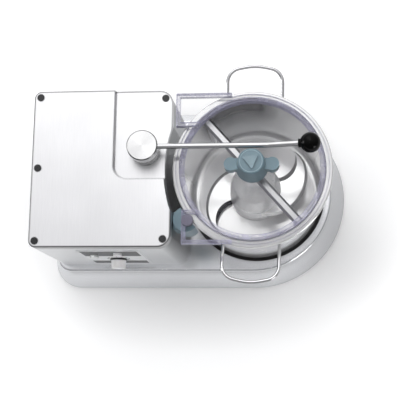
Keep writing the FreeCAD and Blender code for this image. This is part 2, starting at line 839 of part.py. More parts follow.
def make_bowl():
    """The bowl's wall with its rolled rim, the floor welded to it with the centre tube, and the handles."""
    rim_foot = "rim_level - rim_thickness"
    floor_top = "bowl_foot + bowl_floor"
    corners = [
        ("floor_radius", "bowl_foot"), ("bowl_foot_radius", "bowl_foot"), ("bowl_radius", rim_foot),
        ("rim_radius - rim_chamfer", rim_foot), ("rim_radius", rim_foot + " + rim_chamfer"),
        ("rim_radius", "rim_level"), ("bowl_radius - bowl_wall", "rim_level"),
        ("bowl_foot_radius - bowl_wall", floor_top), ("floor_radius", floor_top)]
    bowl = turned("bowl", corners)
    rounded(bowl, "bowl_foot_round", at_ring((s.bowl_foot_radius, s.bowl_foot)))
    inner = s.bowl_foot_radius - s.bowl_wall
    rounded(bowl, "bowl_foot_round - bowl_wall", at_ring((inner, s.bowl_foot + s.bowl_floor)))
    rounded(bowl, "rim_round", at_ring((s.rim_radius, s.rim_level)))
    node("bowl", bowl)
    tube_bore = "spindle_tube_radius + tube_clearance"
    corners = [(tube_bore, "bowl_foot"), ("floor_radius", "bowl_foot"), ("floor_radius", floor_top),
               ("tube_radius", floor_top), ("tube_radius", "tube_level"), (tube_bore, "tube_level")]
    node("bowl_floor", turned("bowl_floor", corners))

    loops = []
    half = s.handle_width / 2
    slope = math.atan2(s.handle_crown, half)
    top = s.handle_reach - s.wire_radius + s.handle_crown_bend * (1 / math.cos(slope) - 1)
    root = math.sqrt(s.bowl_radius ** 2 - half ** 2) - 1
    for side in (1, -1):
        points = [Vector(-half, side * root, s.handle_root_level),
                  Vector(-half, side * (top - s.handle_crown), s.handle_tip_level),
                  Vector(0, side * top, s.handle_tip_level),
                  Vector(half, side * (top - s.handle_crown), s.handle_tip_level),
                  Vector(half, side * root, s.handle_root_level)]
        loops.append(tube_along(points, s.wire_radius, s.handle_bend, s.handle_crown_bend, s.handle_bend))
    wires = Part.makeCompound(loops)
    wires.rotate(Vector(), Vector(0, 0, 1), s.handle_turn)
    wires.translate(Vector(s.bowl_x, 0, 0))
    inside = Part.makeCone(s.bowl_foot_radius, s.bowl_radius, s.rim_level - s.rim_thickness - s.bowl_foot,
                           Vector(s.bowl_x, 0, s.bowl_foot))
    solid_node("bowl_handles", Part.makeCompound([wire.cut(inside).Solids[0] for wire in wires.Solids]))


def make_lid():
    """The clear lid: flat plate, stepped ring, sealing skirt and two square ears towards the tower."""
    ring_top = "lid_level + lid_ring_height"
    skirt_foot = "lid_level - skirt_depth"
    corners = [
        ("bush_radius", "lid_level"), ("skirt_radius - skirt_wall", "lid_level"),
        ("skirt_radius - skirt_wall", skirt_foot), ("skirt_radius", skirt_foot),
        ("skirt_radius", "lid_level"), ("lid_flange_radius", "lid_level"), ("lid_flange_radius", "lid_top"),
        ("lid_ring_radius", "lid_top"), ("lid_ring_radius", ring_top), ("lid_ring_inner", ring_top),
        ("lid_ring_inner", "lid_top"), ("bush_radius", "lid_top")]
    disc = turned("lid_disc", corners)
    rounded(disc, "lid_round", at_ring((s.lid_ring_radius, s.lid_level + s.lid_ring_height),
                                       (s.lid_ring_inner, s.lid_level + s.lid_ring_height),
                                       (s.lid_flange_radius, s.lid_top)))
    ears = []
    for side, reach in (("1", "ear_back_reach"), ("-1", "ear_front_reach")):
        plate = ear_block(reach, side, "lid_plate_thickness", "0", "0")
        wall = ear_block(reach, side, "ear_height", "0", "0")
        room = ear_block(reach, side, "ear_height * 2", "ear_wall", "ear_wall")
        ears.append(fuse(plate, cut(wall, room)))
    keep_out = cylinder("(lid_ring_inner + lid_ring_radius) / 2", "ear_height * 3", "bowl_x", "0",
                        "lid_level - ear_height")
    magnet_spot = ("bowl_x - magnet_x", "-magnet_y", "lid_level")
    boss = cylinder("magnet_boss_radius", "magnet_boss_height", *magnet_spot)
    pocket = cylinder("magnet_radius", "magnet_height", *magnet_spot)
    node("lid", cut(fuse(disc, cut(fuse(*ears), keep_out), boss), pocket))
    node("lid_magnet", cylinder("magnet_radius", "magnet_height", *magnet_spot))
    gasket = cylinder("bowl_radius - bowl_wall - gasket_gap", "gasket_height",
                      z=skirt_foot + " + gasket_lift")
    bore = cylinder("skirt_radius", "gasket_height * 3", z=skirt_foot)
    node("lid_gasket", cut(gasket, bore))
    bush = fuse(cylinder("bush_radius", "lid_plate_thickness + bush_flange_height * 2",
                         z="lid_level - bush_flange_height"),
                cylinder("bush_flange", "bush_flange_height", z="lid_top"))
    shaft_bore = cylinder("shaft_radius + running_gap", "lid_plate_thickness * 6",
                          z="lid_level - lid_plate_thickness * 2")
    node("lid_bush", cut(bush, shaft_bore))


def ear_block(reach, side, height, wall, end_wall):
    """One ear's block from its outer corner towards the ring, inset by its walls."""
    width = f"(ear_end - ear_start - ({wall}) * 2)"
    y = f"({side}) * (ear_start + ear_end) / 2 - {width} / 2"
    length = f"{reach} - ear_overlap - ({wall})"
    return box(length, width, height, f"bowl_x - {reach} + ({end_wall})", y, "lid_level")


def make_scraper():
    """The bowl scraper: winged knob above the lid, shaft, cross bar and the two wall blades."""
    body = turned("knob_body", [("0", "knob_foot_level"), ("knob_foot_radius", "knob_foot_level"),
                                ("knob_top_radius", "knob_top_level"), ("0", "knob_top_level")])
    rounded(body, "knob_round", at_ring((s.knob_top_radius, s.knob_top_level)))
    wings = []
    for side in ("1", "-1"):
        x = f"bowl_x + ({side}) * (wing_reach - wing_radius)"
        wings.append(cylinder("wing_radius", "wing_height", x, "0", "wing_level"))
    web = box("(wing_reach - wing_radius) * 2", "wing_radius * wing_web_share * 2", "wing_height",
              "bowl_x - wing_reach + wing_radius", "-wing_radius * wing_web_share", "wing_level")
    bore_depth = "(knob_top_level - knob_foot_level) * knob_bore_share"
    bore = cylinder("shaft_radius", bore_depth, z="knob_foot_level")
    node("scraper_knob", cut(fuse(body, web, *wings), bore))
    arrow = doc.addObject("Part::Prism", "pointer")
    arrow.Polygon = 3
    arrow.Placement = Placement(Vector(), Rotation(Vector(0, 0, 1), s.pointer_turn))
    bind(arrow, Circumradius="pointer_radius", Height="pointer_height")
    bind_place(arrow, "bowl_x", "0", "knob_top_level")
    blunt = cylinder("pointer_radius - pointer_blunt", "pointer_height", z="knob_top_level")
    node("knob_pointer", common(arrow, blunt))
    shaft_foot = "bar_level + bar_thickness"
    shaft_height = f"knob_foot_level + {bore_depth} - ({shaft_foot})"
    node("scraper_shaft", cylinder("shaft_radius", shaft_height, z=shaft_foot))
    bar = doc.addObject("PartDesign::Body", "bar_body")
    section = corner_sketch(bar, "YZ_Plane", [
        ("0", "0"), ("bar_width", "0"), ("bar_width", "bar_edge"),
        ("bar_width - bar_bevel", "bar_thickness"), ("bar_bevel", "bar_thickness"), ("0", "bar_edge")])
    run = bar.newObject("PartDesign::Pad", "run")
    run.Profile = section
    bind(run, Length="bar_reach * 2")
    bar.Tip = run
    bar.Placement = Placement(Vector(), Rotation(Vector(0, 0, 1), s.scraper_angle))
    half_x = "bar_reach * cos(scraper_angle) - bar_width / 2 * sin(scraper_angle)"
    half_y = "bar_reach * sin(scraper_angle) + bar_width / 2 * cos(scraper_angle)"
    bind_place(bar, f"bowl_x - ({half_x})", f"-({half_y})", "bar_level")
    node("scraper_bar", bar)
    blades = []
    for side in (0, 180):
        angle = f"(scraper_angle + {side})"
        blade = box("blade_arm_width", "blade_arm_thickness", "bar_level - blade_arm_foot", "0", "0", "0")
        blade.Placement = Placement(Vector(), Rotation(Vector(0, 0, 1), s.scraper_angle + side))
        inner = "(blade_arm_reach - blade_arm_width)"
        x = f"bowl_x + {inner} * cos({angle}) + blade_arm_thickness / 2 * sin({angle})"
        y = f"{inner} * sin({angle}) - blade_arm_thickness / 2 * cos({angle})"
        bind_place(blade, x, y, "blade_arm_foot")
        blades.append(blade)
    node("wall_scrapers", group(*blades))


def make_spindle():
    """The upright cutter drive: flanged bearing tube, bearings, seal, shaft with its hexagon and pulley."""
    foot = "recess_level - recess_floor - spindle_flange_height"
    tube = cylinder("spindle_tube_radius", f"spindle_tube_top - ({foot})", "bowl_x", "0", foot)
    flange = cylinder("spindle_flange_radius", "spindle_flange_height", "bowl_x", "0", foot)
    bore = cylinder("bearing_radius", "spindle_tube_top", "bowl_x", "0", foot)
    holes = []
    screws = []
    for angle in range(45, 360, 90):
        x = f"bowl_x + spindle_bolt_circle / 2 * cos({angle})"
        y = f"spindle_bolt_circle / 2 * sin({angle})"
        holes.append(cylinder("screw_radius", "spindle_flange_height * 3", x, y, f"{foot} - 1"))
        shank = cylinder("screw_radius", "spindle_flange_height + recess_floor - 1", x, y, foot)
        head = cylinder("screw_radius * screw_head_share", "screw_head_height", x, y,
                        f"{foot} - screw_head_height")
        screws.append(fuse(shank, head))
    node("spindle_housing", cut(fuse(tube, flange), bore, *holes))
    node("spindle_screws", group(*screws))
    rings = []
    for level in (foot, "spindle_tube_top - seal_height - bearing_height"):
        ring = cylinder("bearing_radius", "bearing_height", "bowl_x", "0", level)
        rings.append(cut(ring, cylinder("spindle_radius + running_gap", "bearing_height * 3", "bowl_x", "0",
                                        f"{level} - bearing_height")))
    node("spindle_bearings", group(*rings))
    seal = cylinder("bearing_radius", "seal_height", "bowl_x", "0", "spindle_tube_top - seal_height")
    node("shaft_seal", cut(seal, cylinder("spindle_radius + running_gap", "seal_height * 3", "bowl_x", "0",
                                          "spindle_tube_top - seal_height * 2")))
    shaft = cylinder("spindle_radius", "hexagon_level - spindle_foot", "bowl_x", "0", "spindle_foot")
    top = hexagon("hexagon_flats", "spindle_top - hexagon_level", "bowl_x", "0", "hexagon_level")
    node("drive_shaft", fuse(shaft, top))
    node("driven_pulley", pulley("driven_pulley_radius", "spindle_radius", "bowl_x"))
    nut = hexagon("spindle_radius * 3", "nut_height", "bowl_x", "0", "pulley_level - nut_height")
    nut_bore = cylinder("spindle_radius", "nut_height * 4", z="pulley_level - nut_height * 2")
    node("pulley_nut", cut(nut, nut_bore))


def pulley(radius, bore, x):
    """A belt pulley with a rim flange above and below its belt face."""
    lip = f"{radius} + pulley_lip"
    top = "pulley_level + pulley_height"
    corners = [
        (bore, "pulley_level"), (lip, "pulley_level"), (lip, "pulley_level + pulley_edge"),
        (radius, "pulley_level + pulley_flange"), (radius, f"{top} - pulley_flange"),
        (lip, f"{top} - pulley_edge"), (lip, top), (bore, top)]
    return turned("pulley", corners, x)


def make_cutter():
    """The lift-off cutter: flanged sleeve, two sickle blades, the spacer between them and the cap."""
    flange_top = "lower_blade_level"
    roof = "cavity_top + sleeve_roof"
    corners = [
        ("sleeve_bore", "sleeve_foot_level"), ("cutter_foot_radius", "sleeve_foot_level"),
        ("cutter_foot_radius", flange_top), ("sleeve_radius", flange_top), ("sleeve_radius", roof),
        ("sleeve_head_radius", roof), ("sleeve_head_radius", "sleeve_head_top"),
        ("0", "sleeve_head_top"), ("0", "cavity_top"), ("sleeve_bore", "cavity_top")]
    sleeve = turned("cutter_sleeve", corners)
    socket = hexagon("hexagon_flats + hexagon_gap * 2", "spindle_top - cavity_top + 2", "bowl_x", "0",
                     "cavity_top - 1")
    node("cutter_sleeve", cut(sleeve, socket))
    spacer_foot = "lower_blade_level + blade_thickness"
    spacer_height = f"upper_blade_level - ({spacer_foot})"
    spacer = cone("blade_root_radius", "cutter_mid_radius", spacer_height, z=spacer_foot)
    spacer_bore = cylinder("sleeve_radius", "upper_blade_level", z="sleeve_foot_level")
    node("blade_spacer", cut(spacer, spacer_bore))
    cap_foot = "upper_blade_level + blade_thickness"
    shape = [
        ("sleeve_radius", cap_foot), ("cutter_mid_radius", cap_foot),
        ("cutter_shoulder_radius", "cutter_shoulder_level"), ("cutter_top_radius", "cutter_top"),
        ("0", "cutter_top"), ("0", "sleeve_head_top"), ("sleeve_head_radius", "sleeve_head_top"),
        ("sleeve_head_radius", roof), ("sleeve_radius", roof)]
    cap = turned("cutter_cap", shape)
    rounded(cap, "cap_round", at_ring((s.cutter_shoulder_radius, s.cutter_shoulder_level),
                                      (s.cutter_top_radius, s.cutter_top)))
    node("cutter_cap", cap)
    solid_node("lower_blade", sickle(s.lower_blade_level, 0))
    solid_node("upper_blade", sickle(s.upper_blade_level, 180))


def sickle(level, turn):
    """A ring on the sleeve that grows into a hooked blade, ground along its spiral and its scoop."""
    def outline(bevel, height):
        """Outer spiral, round scoop and root arc, the spiral and the scoop set back by the bevel."""
        def spot(angle, reach):
            turned_to = math.radians(angle)
            return Vector(reach * math.cos(turned_to), reach * math.sin(turned_to), height)

        count = 9
        outer = []
        for i in range(count):
            share = i / (count - 1)
            reach = s.blade_root_radius + s.blade_rise * share - s.blade_tip_fall * share ** 10
            reach -= bevel * (1 - (1 - s.blade_tip_bevel_share) * share ** 4)
            outer.append(spot(s.blade_start + s.blade_sweep * share, reach))
        inner = s.sleeve_radius + s.blade_root_overlap
        scoop_angle = s.blade_start + s.blade_sweep + s.blade_scoop_lag
        scoop_radius = s.blade_scoop_radius + bevel
        centre = s.blade_scoop_centre
        spread = (inner ** 2 + centre ** 2 - scoop_radius ** 2) / (2 * inner * centre)
        root_angle = scoop_angle - math.degrees(math.acos(spread))
        middle = spot(scoop_angle, centre) + spot(scoop_angle - 90, scoop_radius)
        middle.z = height
        root = spot(root_angle, inner)
        bottom = spot((s.blade_start + root_angle) / 2, inner)
        begin = spot(s.blade_start, inner)
        curve = Part.BSplineCurve()
        curve.interpolate(outer)
        edges = [curve.toShape(), Part.Arc(outer[-1], middle, root).toShape(),
                 Part.Arc(root, bottom, begin).toShape(), Part.LineSegment(begin, outer[0]).toShape()]
        return Part.Wire(edges)

    top = level + s.blade_thickness
    hook = loft(outline(0, level), outline(0, level + s.blade_land), outline(s.blade_bevel, top))
    ring = Part.makeCylinder(s.cutter_mid_radius, s.blade_thickness, Vector(0, 0, level))
    bore = Part.makeCylinder(s.sleeve_radius, s.blade_thickness * 3, Vector(0, 0, level - s.blade_thickness))
    blade = hook.fuse(ring).cut(bore)
    blade.rotate(Vector(), Vector(0, 0, 1), turn)
    blade.translate(Vector(s.bowl_x, 0, 0))
    return blade


def make_motor():
    """The upright motor on the deck, its fan and pulley, and the flat belt to the cutter spindle."""
    x = "motor_x"
    top = "motor_level + motor_height"
    frame_foot = "motor_level + shield_height"
    frame_height = "motor_height - shield_height * 2"
    frame = cylinder("motor_radius", frame_height, x, "0", frame_foot)
    room = cylinder("motor_radius - motor_wall", "motor_height", x, "0", "motor_level")
    node("motor_frame", cut(frame, room))
    stator = cylinder("motor_radius - motor_wall", f"{frame_height} - stator_inset * 2", x, "0",
                      f"{frame_foot} + stator_inset")
    node("motor_stator", cut(stator, cylinder("stator_bore", "motor_height", x, "0", "motor_level")))
    ring = "motor_bolt_circle / 2"
    bolt_spots = [(f"motor_x + {ring} * cos({angle})", f"{ring} * sin({angle})")
                  for angle in range(45, 360, 90)]
    shields = []
    for level in ("motor_level", f"{top} - shield_height"):
        plate = cylinder("motor_radius + shield_flange", "shield_height", x, "0", level)
        bores = [cylinder("motor_shaft_radius + running_gap", "shield_height * 3", x, "0",
                          f"{level} - shield_height")]
        for bolt_x, bolt_y in bolt_spots:
            bores.append(cylinder("motor_bolt_radius", "shield_height", bolt_x, bolt_y, level))
        shields.append(cut(plate, *bores))
    feet = cylinder("motor_radius", "motor_level - deck_level", x, "0", "deck_level")
    shields[0] = fuse(shields[0], cut(feet, cylinder("deck_motor_hole", "shield_height * 3", x, "0",
                                                     "deck_level - shield_height")))
    node("motor_shields", group(*shields))
    bolts = [cylinder("motor_bolt_radius", "motor_height", bolt_x, bolt_y, "motor_level")
             for bolt_x, bolt_y in bolt_spots]
    node("motor_tie_bolts", group(*bolts))
    shaft_height = "motor_shaft_top - motor_shaft_foot"
    node("motor_shaft", cylinder("motor_shaft_radius", shaft_height, x, "0", "motor_shaft_foot"))
    rotor = cylinder("stator_bore - rotor_gap", f"{frame_height} - rotor_inset * 2", x, "0",
                     f"{frame_foot} + rotor_inset")
    node("motor_rotor", cut(rotor, cylinder("motor_shaft_radius", "motor_height", x, "0", "motor_level")))
    node("motor_pulley", pulley("motor_pulley_radius", "motor_shaft_radius", x))
    node("motor_fan", fan(x))
    node("drive_belt", held(belt()))


def fan(x):
    """The cooling fan: one blade on the hub, patterned round it."""
    body = doc.addObject("PartDesign::Body", "fan_body")
    hub_sketch = corner_sketch(body, "XZ_Plane", [
        ("motor_shaft_radius", "0"), ("fan_radius * 0.9", "0"), ("fan_radius * 0.9", "2"),
        ("motor_shaft_radius * 2", "2"), ("motor_shaft_radius * 2", "fan_height"),
        ("motor_shaft_radius", "fan_height")])
    hub = body.newObject("PartDesign::Revolution", "hub")
    hub.Profile = hub_sketch
    hub.ReferenceAxis = (hub_sketch, ["V_Axis"])
    blade_sketch = corner_sketch(body, "XY_Plane", [
        ("motor_shaft_radius * 1.5", "-1"), ("fan_radius", "-1"), ("fan_radius", "1"),
        ("motor_shaft_radius * 1.5", "1")])
    blade = body.newObject("PartDesign::Pad", "blade")
    blade.Profile = blade_sketch
    bind(blade, Length="fan_height")
    doc.recompute()
    pattern = body.newObject("PartDesign::PolarPattern", "blades")
    pattern.Originals = [blade]
    pattern.Axis = (hub_sketch, ["V_Axis"])
    pattern.Angle = 360
    bind(pattern, Occurrences="fan_blades")
    body.Tip = pattern
    bind_place(body, x, "0", "fan_level")
    return body


def belt():
    """The belt's loop: two tangent runs and the wraps round both pulleys."""
    def loop(grow, height, level):
        small = s.motor_pulley_radius + grow
        large = s.driven_pulley_radius + grow
        span = s.bowl_x - s.motor_x
        lean = math.asin((large - small) / span)
        a = Vector(s.motor_x, 0, level)
        b = Vector(s.bowl_x, 0, level)

        def around(centre, radius, angle):
            return centre + Vector(math.cos(angle), math.sin(angle), 0) * radius

        meet = math.pi / 2 + lean
        edges = [
            Part.LineSegment(around(a, small, meet), around(b, large, meet)).toShape(),
            Part.Arc(around(b, large, meet), around(b, large, 0), around(b, large, -meet)).toShape(),
            Part.LineSegment(around(b, large, -meet), around(a, small, -meet)).toShape(),
            Part.Arc(around(a, small, -meet), around(a, small, math.pi), around(a, small, meet)).toShape(),
        ]
        return prism(Part.Wire(edges), height)

    level = s.pulley_level + s.pulley_flange + s.belt_side_gap
    height = s.pulley_height - 2 * (s.pulley_flange + s.belt_side_gap)
    outer = loop(s.belt_gap + s.belt_thickness, height, level)
    return outer.cut(loop(s.belt_gap, height, level))


def make_controls():
    """The control panel, speed knob and two push buttons on the front wall, with what is behind them."""
    panel = box("control_width", "control_thickness", "control_height", "control_x - control_width / 2",
                "tower_front - control_thickness", "control_foot")
    holes = [cylinder("knob_shaft_radius + knob_hole_gap", "control_thickness * 3", "knob_x",
                      "tower_front - control_thickness * 2", "knob_level", "y")]
    for name in ("start", "stop"):
        holes.append(cylinder("button_radius + button_gap", "control_thickness * 3", f"{name}_x",
                              "tower_front - control_thickness * 2", f"{name}_level", "y"))
    node("control_panel", cut(panel, *holes))
    foot_y = "tower_front - control_thickness - knob_gap"
    grip = cone("knob_radius - knob_taper", "knob_radius", "knob_length", "knob_x", f"{foot_y} - knob_length",
                "knob_level", "y")
    skirt_y = f"{foot_y} - knob_skirt_height"
    skirt = cylinder("knob_skirt_radius", "knob_skirt_height", "knob_x", skirt_y, "knob_level", "y")
    spindle_length = "housing_wall + control_thickness + board_back - knob_skirt_height"
    spindle = cylinder("knob_shaft_radius", spindle_length, "knob_x", skirt_y, "knob_level", "y")
    node("speed_knob", fuse(grip, skirt))
    node("knob_spindle", cut(spindle, grip, skirt))
    back = "tower_front + housing_wall"
    for name in ("start", "stop"):
        cap = cylinder("button_radius", "button_proud + control_thickness", f"{name}_x",
                       "tower_front - control_thickness - button_proud", f"{name}_level", "y")
        stem = cylinder("button_stem_radius", "button_stem_length", f"{name}_x", "tower_front",
                        f"{name}_level", "y")
        node(f"{name}_button", fuse(cap, stem))
    pot = cylinder("knob_radius", "board_back", "knob_x", back, "knob_level", "y")
    pot_bore = cylinder("knob_shaft_radius + running_gap", "board_back * 3", "knob_x", f"{back} - board_back",
                        "knob_level", "y")
    node("speed_potentiometer", cut(pot, pot_bore))
    board_y = f"{back} + board_back"
    board = box("control_width", "board_thickness", "control_height - board_inset * 2",
                "control_x - control_width / 2", board_y, "control_foot + board_inset")
    switch_y = "tower_front + button_stem_length + button_travel + button_spare"
    switches = [box("button_radius * 2", f"{board_y} - ({switch_y})", "button_radius * 2",
                    f"{name}_x - button_radius", switch_y, f"{name}_level - button_radius")
                for name in ("start", "stop")]
    node("control_board", fuse(board, *switches))


def make_small_parts():
    """The lid's locator, the lid switch and the cable gland."""
    x = "bowl_x - locator_x"
    foot = "lid_level - locator_drop - locator_height"
    post = cylinder("locator_radius", "locator_height", x, "-locator_y", foot)
    pad_half = "locator_radius * locator_pad_share"
    pad = box("bowl_x - locator_x - tower_right + locator_pad_overlap", f"{pad_half} * 2",
              "locator_height - locator_pad_drop", "tower_right - locator_pad_overlap",
              f"-locator_y - {pad_half}", foot)
    clear = cylinder("rim_radius + locator_gap", "locator_height * 2", z="lid_level - locator_height * 1.5")
    tower = loft(tower_outline(s.deck_level, 0, s.tower_draft), tower_outline(s.cover_level))
    above = prism(tower_outline(s.cover_level), s.cover_height * 2)
    node("lid_locator", cut(fuse(post, pad), clear, held(tower.fuse(above))))
    wall_y = "tower_width / 2"
    spot = ("gland_x", "gland_level")

    def along_y(radius, length, y):
        return cylinder(radius, length, spot[0], y, spot[1], "y")

    sleeve_length = "gland_length * (1 - gland_dome_share)"
    sleeve = along_y("gland_radius", sleeve_length, wall_y)
    dome = cone("gland_radius", "gland_radius - gland_dome_taper", "gland_length * gland_dome_share",
                spot[0], f"{wall_y} + {sleeve_length}", spot[1], "y")
    thread_length = "housing_wall + gland_thread"
    thread = along_y("gland_radius - gland_wall", thread_length, f"{wall_y} - ({thread_length})")
    bore = along_y("gland_bore", "gland_length * 4", f"{wall_y} - gland_length * 2")
    node("cable_gland", cut(fuse(sleeve, dome, thread), bore))
    nut = along_y("gland_radius + 1", "gland_nut_height", f"{wall_y} - housing_wall - gland_nut_height")
    nut_bore = along_y("gland_radius - gland_wall", "gland_nut_height * 4",
                       f"{wall_y} - housing_wall - gland_nut_height * 2")
    node("gland_nut", cut(nut, nut_bore))
    node("lid_switch", box("switch_depth", "switch_length", "switch_length",
                           "tower_right - housing_wall - switch_depth",
                           "-(tower_width / 2 - tower_corner_right - switch_inset)",
                           "cover_level - switch_length - switch_drop"))


def check_and_write():
    """Stop on any failed object, then write one file for each sub-part."""
    doc.recompute()
    for thing in doc.Objects:
        if "Invalid" in thing.State or "Error" in thing.State:
            raise RuntimeError(f"{thing.Label} failed: {thing.State}")
    for name, thing in NODES.items():
        shape = thing.Shape
        if shape.isNull() or not shape.isValid() or not shape.Solids:
            raise RuntimeError(f"{name} has no valid solid")
    os.makedirs("parts", exist_ok=True)
    for name, thing in NODES.items():
        thing.Shape.exportStep(f"parts/{name}.step")
    print(len(NODES), "sub-parts written")


doc = FreeCAD.newDocument("CutterMixer")
s = make_sheets(doc)
make_base()
make_tower()
make_cover()
make_lever()
make_bowl()
make_lid()
make_scraper()
make_spindle()
make_cutter()
make_motor()
make_controls()
make_small_parts()
check_and_write()
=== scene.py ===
import math

import bmesh
import bpy
from mathutils import Matrix, Vector


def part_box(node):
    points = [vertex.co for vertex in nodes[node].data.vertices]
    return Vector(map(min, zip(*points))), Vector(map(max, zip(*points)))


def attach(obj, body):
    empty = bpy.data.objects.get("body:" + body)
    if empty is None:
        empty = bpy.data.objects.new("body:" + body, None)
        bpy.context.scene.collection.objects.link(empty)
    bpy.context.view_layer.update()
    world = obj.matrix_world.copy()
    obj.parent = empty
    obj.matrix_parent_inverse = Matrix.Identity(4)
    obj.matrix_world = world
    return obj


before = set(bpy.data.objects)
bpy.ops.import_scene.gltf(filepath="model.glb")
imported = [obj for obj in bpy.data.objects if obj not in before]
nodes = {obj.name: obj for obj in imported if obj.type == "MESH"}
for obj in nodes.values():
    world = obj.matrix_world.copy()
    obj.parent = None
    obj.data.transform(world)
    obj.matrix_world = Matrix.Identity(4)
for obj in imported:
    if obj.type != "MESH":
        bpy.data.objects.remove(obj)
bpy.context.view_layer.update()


# Camera: a long lens high above the machine, leaning slightly to the front.
CAMERA_PLACE = Vector((0.1517, -0.30895, 1.54836))
CAMERA_TURN = (-0.198, -0.096, 0.008)
FOCAL_SHARE = 897.834 / 400
SENSOR = 36.0


def make_camera():
    about_x, about_y, about_z = CAMERA_TURN
    turn = (Matrix.Rotation(about_z, 3, "Z") @ Matrix.Rotation(about_y, 3, "Y")
            @ Matrix.Rotation(about_x, 3, "X"))
    data = bpy.data.cameras.new("camera")
    data.sensor_fit = "HORIZONTAL"
    data.sensor_width = SENSOR
    data.lens = SENSOR * FOCAL_SHARE
    data.clip_end = 20
    camera = bpy.data.objects.new("camera", data)
    camera.matrix_world = Matrix.Translation(CAMERA_PLACE) @ turn.transposed().to_4x4()
    bpy.context.scene.collection.objects.link(camera)
    bpy.context.scene.camera = camera


# Materials.
class Graph:
    """A material's nodes, made by short calls."""

    def __init__(self, name):
        self.material = bpy.data.materials.new(name)
        self.material.use_nodes = True
        self.tree = self.material.node_tree
        self.shader = self.tree.nodes["Principled BSDF"]
        self.output = self.tree.nodes["Material Output"]

    def add(self, kind, **settings):
        made = self.tree.nodes.new(kind)
        for name, value in settings.items():
            setattr(made, name, value)
        return made

    def link(self, source, target):
        self.tree.links.new(source, target)

    def value(self, name, number):
        self.shader.inputs[name].default_value = number

    def position(self, scale=(1, 1, 1), turn=(0, 0, 0)):
        """Object coordinates, stretched and turned."""
        where = self.add("ShaderNodeTexCoord")
        mapping = self.add("ShaderNodeMapping")
        mapping.inputs["Scale"].default_value = scale
        mapping.inputs["Rotation"].default_value = turn
        self.link(where.outputs["Object"], mapping.inputs["Vector"])
        return mapping.outputs["Vector"]

    def noise(self, vector, scale, detail=3.0, rough=0.55):
        made = self.add("ShaderNodeTexNoise")
        made.inputs["Scale"].default_value = scale
        made.inputs["Detail"].default_value = detail
        made.inputs["Roughness"].default_value = rough
        self.link(vector, made.inputs["Vector"])
        return made.outputs["Fac"]

    def spread(self, source, low, high, start=0.3, end=0.7):
        """Remap a 0 to 1 pattern to a range of numbers."""
        made = self.add("ShaderNodeMapRange")
        made.inputs["From Min"].default_value = start
        made.inputs["From Max"].default_value = end
        made.inputs["To Min"].default_value = low
        made.inputs["To Max"].default_value = high
        self.link(source, made.inputs["Value"])
        return made.outputs["Result"]

    def maths(self, operation, first, second=None):
        made = self.add("ShaderNodeMath", operation=operation)
        for socket, source in zip(made.inputs, (first, second)):
            if source is None:
                continue
            if isinstance(source, (int, float)):
                socket.default_value = source
            else:
                self.link(source, socket)
        return made.outputs["Value"]

    def blend(self, share, first, second):
        """Mix two colours, each a triple or a socket."""
        made = self.add("ShaderNodeMix", data_type="RGBA")
        self.link(share, made.inputs["Factor"])
        for socket, source in zip((made.inputs[6], made.inputs[7]), (first, second)):
            if isinstance(source, tuple):
                socket.default_value = (*source, 1)
            else:
                self.link(source, socket)
        return made.outputs[2]

    def bump(self, height, strength, distance=0.0005):
        made = self.add("ShaderNodeBump")
        made.inputs["Strength"].default_value = strength
        made.inputs["Distance"].default_value = distance
        self.link(height, made.inputs["Height"])
        self.link(made.outputs["Normal"], self.shader.inputs["Normal"])
        return made

    def rise(self):
        """How far a face's outward line points up or down: 1 on level faces, 0 on upright ones."""
        facing = self.add("ShaderNodeNewGeometry")
        split = self.add("ShaderNodeSeparateXYZ")
        self.link(facing.outputs["Normal"], split.inputs["Vector"])
        return self.maths("ABSOLUTE", split.outputs["Z"])

    def lean(self):
        """1 on upright faces that face right, -1 on those that face left."""
        facing = self.add("ShaderNodeNewGeometry")
        split = self.add("ShaderNodeSeparateXYZ")
        self.link(facing.outputs["Normal"], split.inputs["Vector"])
        return split.outputs["X"]

    def away_from(self, axis):
        """How far a face looks away from an upright axis."""
        where = self.add("ShaderNodeTexCoord")
        shift = self.add("ShaderNodeVectorMath", operation="SUBTRACT")
        shift.inputs[1].default_value = (axis[0], axis[1], 0)
        self.link(where.outputs["Object"], shift.inputs[0])
        flat = self.add("ShaderNodeVectorMath", operation="MULTIPLY")
        flat.inputs[1].default_value = (1, 1, 0)
        self.link(shift.outputs["Vector"], flat.inputs[0])
        way = self.add("ShaderNodeVectorMath", operation="NORMALIZE")
        self.link(flat.outputs["Vector"], way.inputs[0])
        facing = self.add("ShaderNodeNewGeometry")
        own = self.add("ShaderNodeVectorTransform", vector_type="NORMAL", convert_from="WORLD",
                       convert_to="OBJECT")
        self.link(facing.outputs["Normal"], own.inputs["Vector"])
        dot = self.add("ShaderNodeVectorMath", operation="DOT_PRODUCT")
        self.link(way.outputs["Vector"], dot.inputs[0])
        self.link(own.outputs["Vector"], dot.inputs[1])
        return dot.outputs["Value"]

    def border(self, middle, half, radius):
        """1 along the inside of an upright rounded box's border, 0 elsewhere."""
        where = self.add("ShaderNodeTexCoord")
        vector = where.outputs["Object"]
        for operation, second in (("SUBTRACT", (middle[0], middle[1], 0)), ("ABSOLUTE", None),
                                  ("SUBTRACT", (half[0] - radius, half[1] - radius, 0)),
                                  ("MULTIPLY", (1, 1, 0)), ("MAXIMUM", (0, 0, 0))):
            step = self.add("ShaderNodeVectorMath", operation=operation)
            self.link(vector, step.inputs[0])
            if second is not None:
                step.inputs[1].default_value = second
            vector = step.outputs["Vector"]
        reach = self.add("ShaderNodeVectorMath", operation="LENGTH")
        self.link(vector, reach.inputs[0])
        return self.spread(reach.outputs["Value"], 0, 1, radius - 0.0032, radius - 0.0018)

    def band(self, source, low, high, soft=0.02):
        """1 where a number lies between two limits, 0 outside."""
        above = self.spread(source, 0, 1, low - soft, low)
        below = self.spread(source, 1, 0, high, high + soft)
        return self.maths("MULTIPLY", above, below)

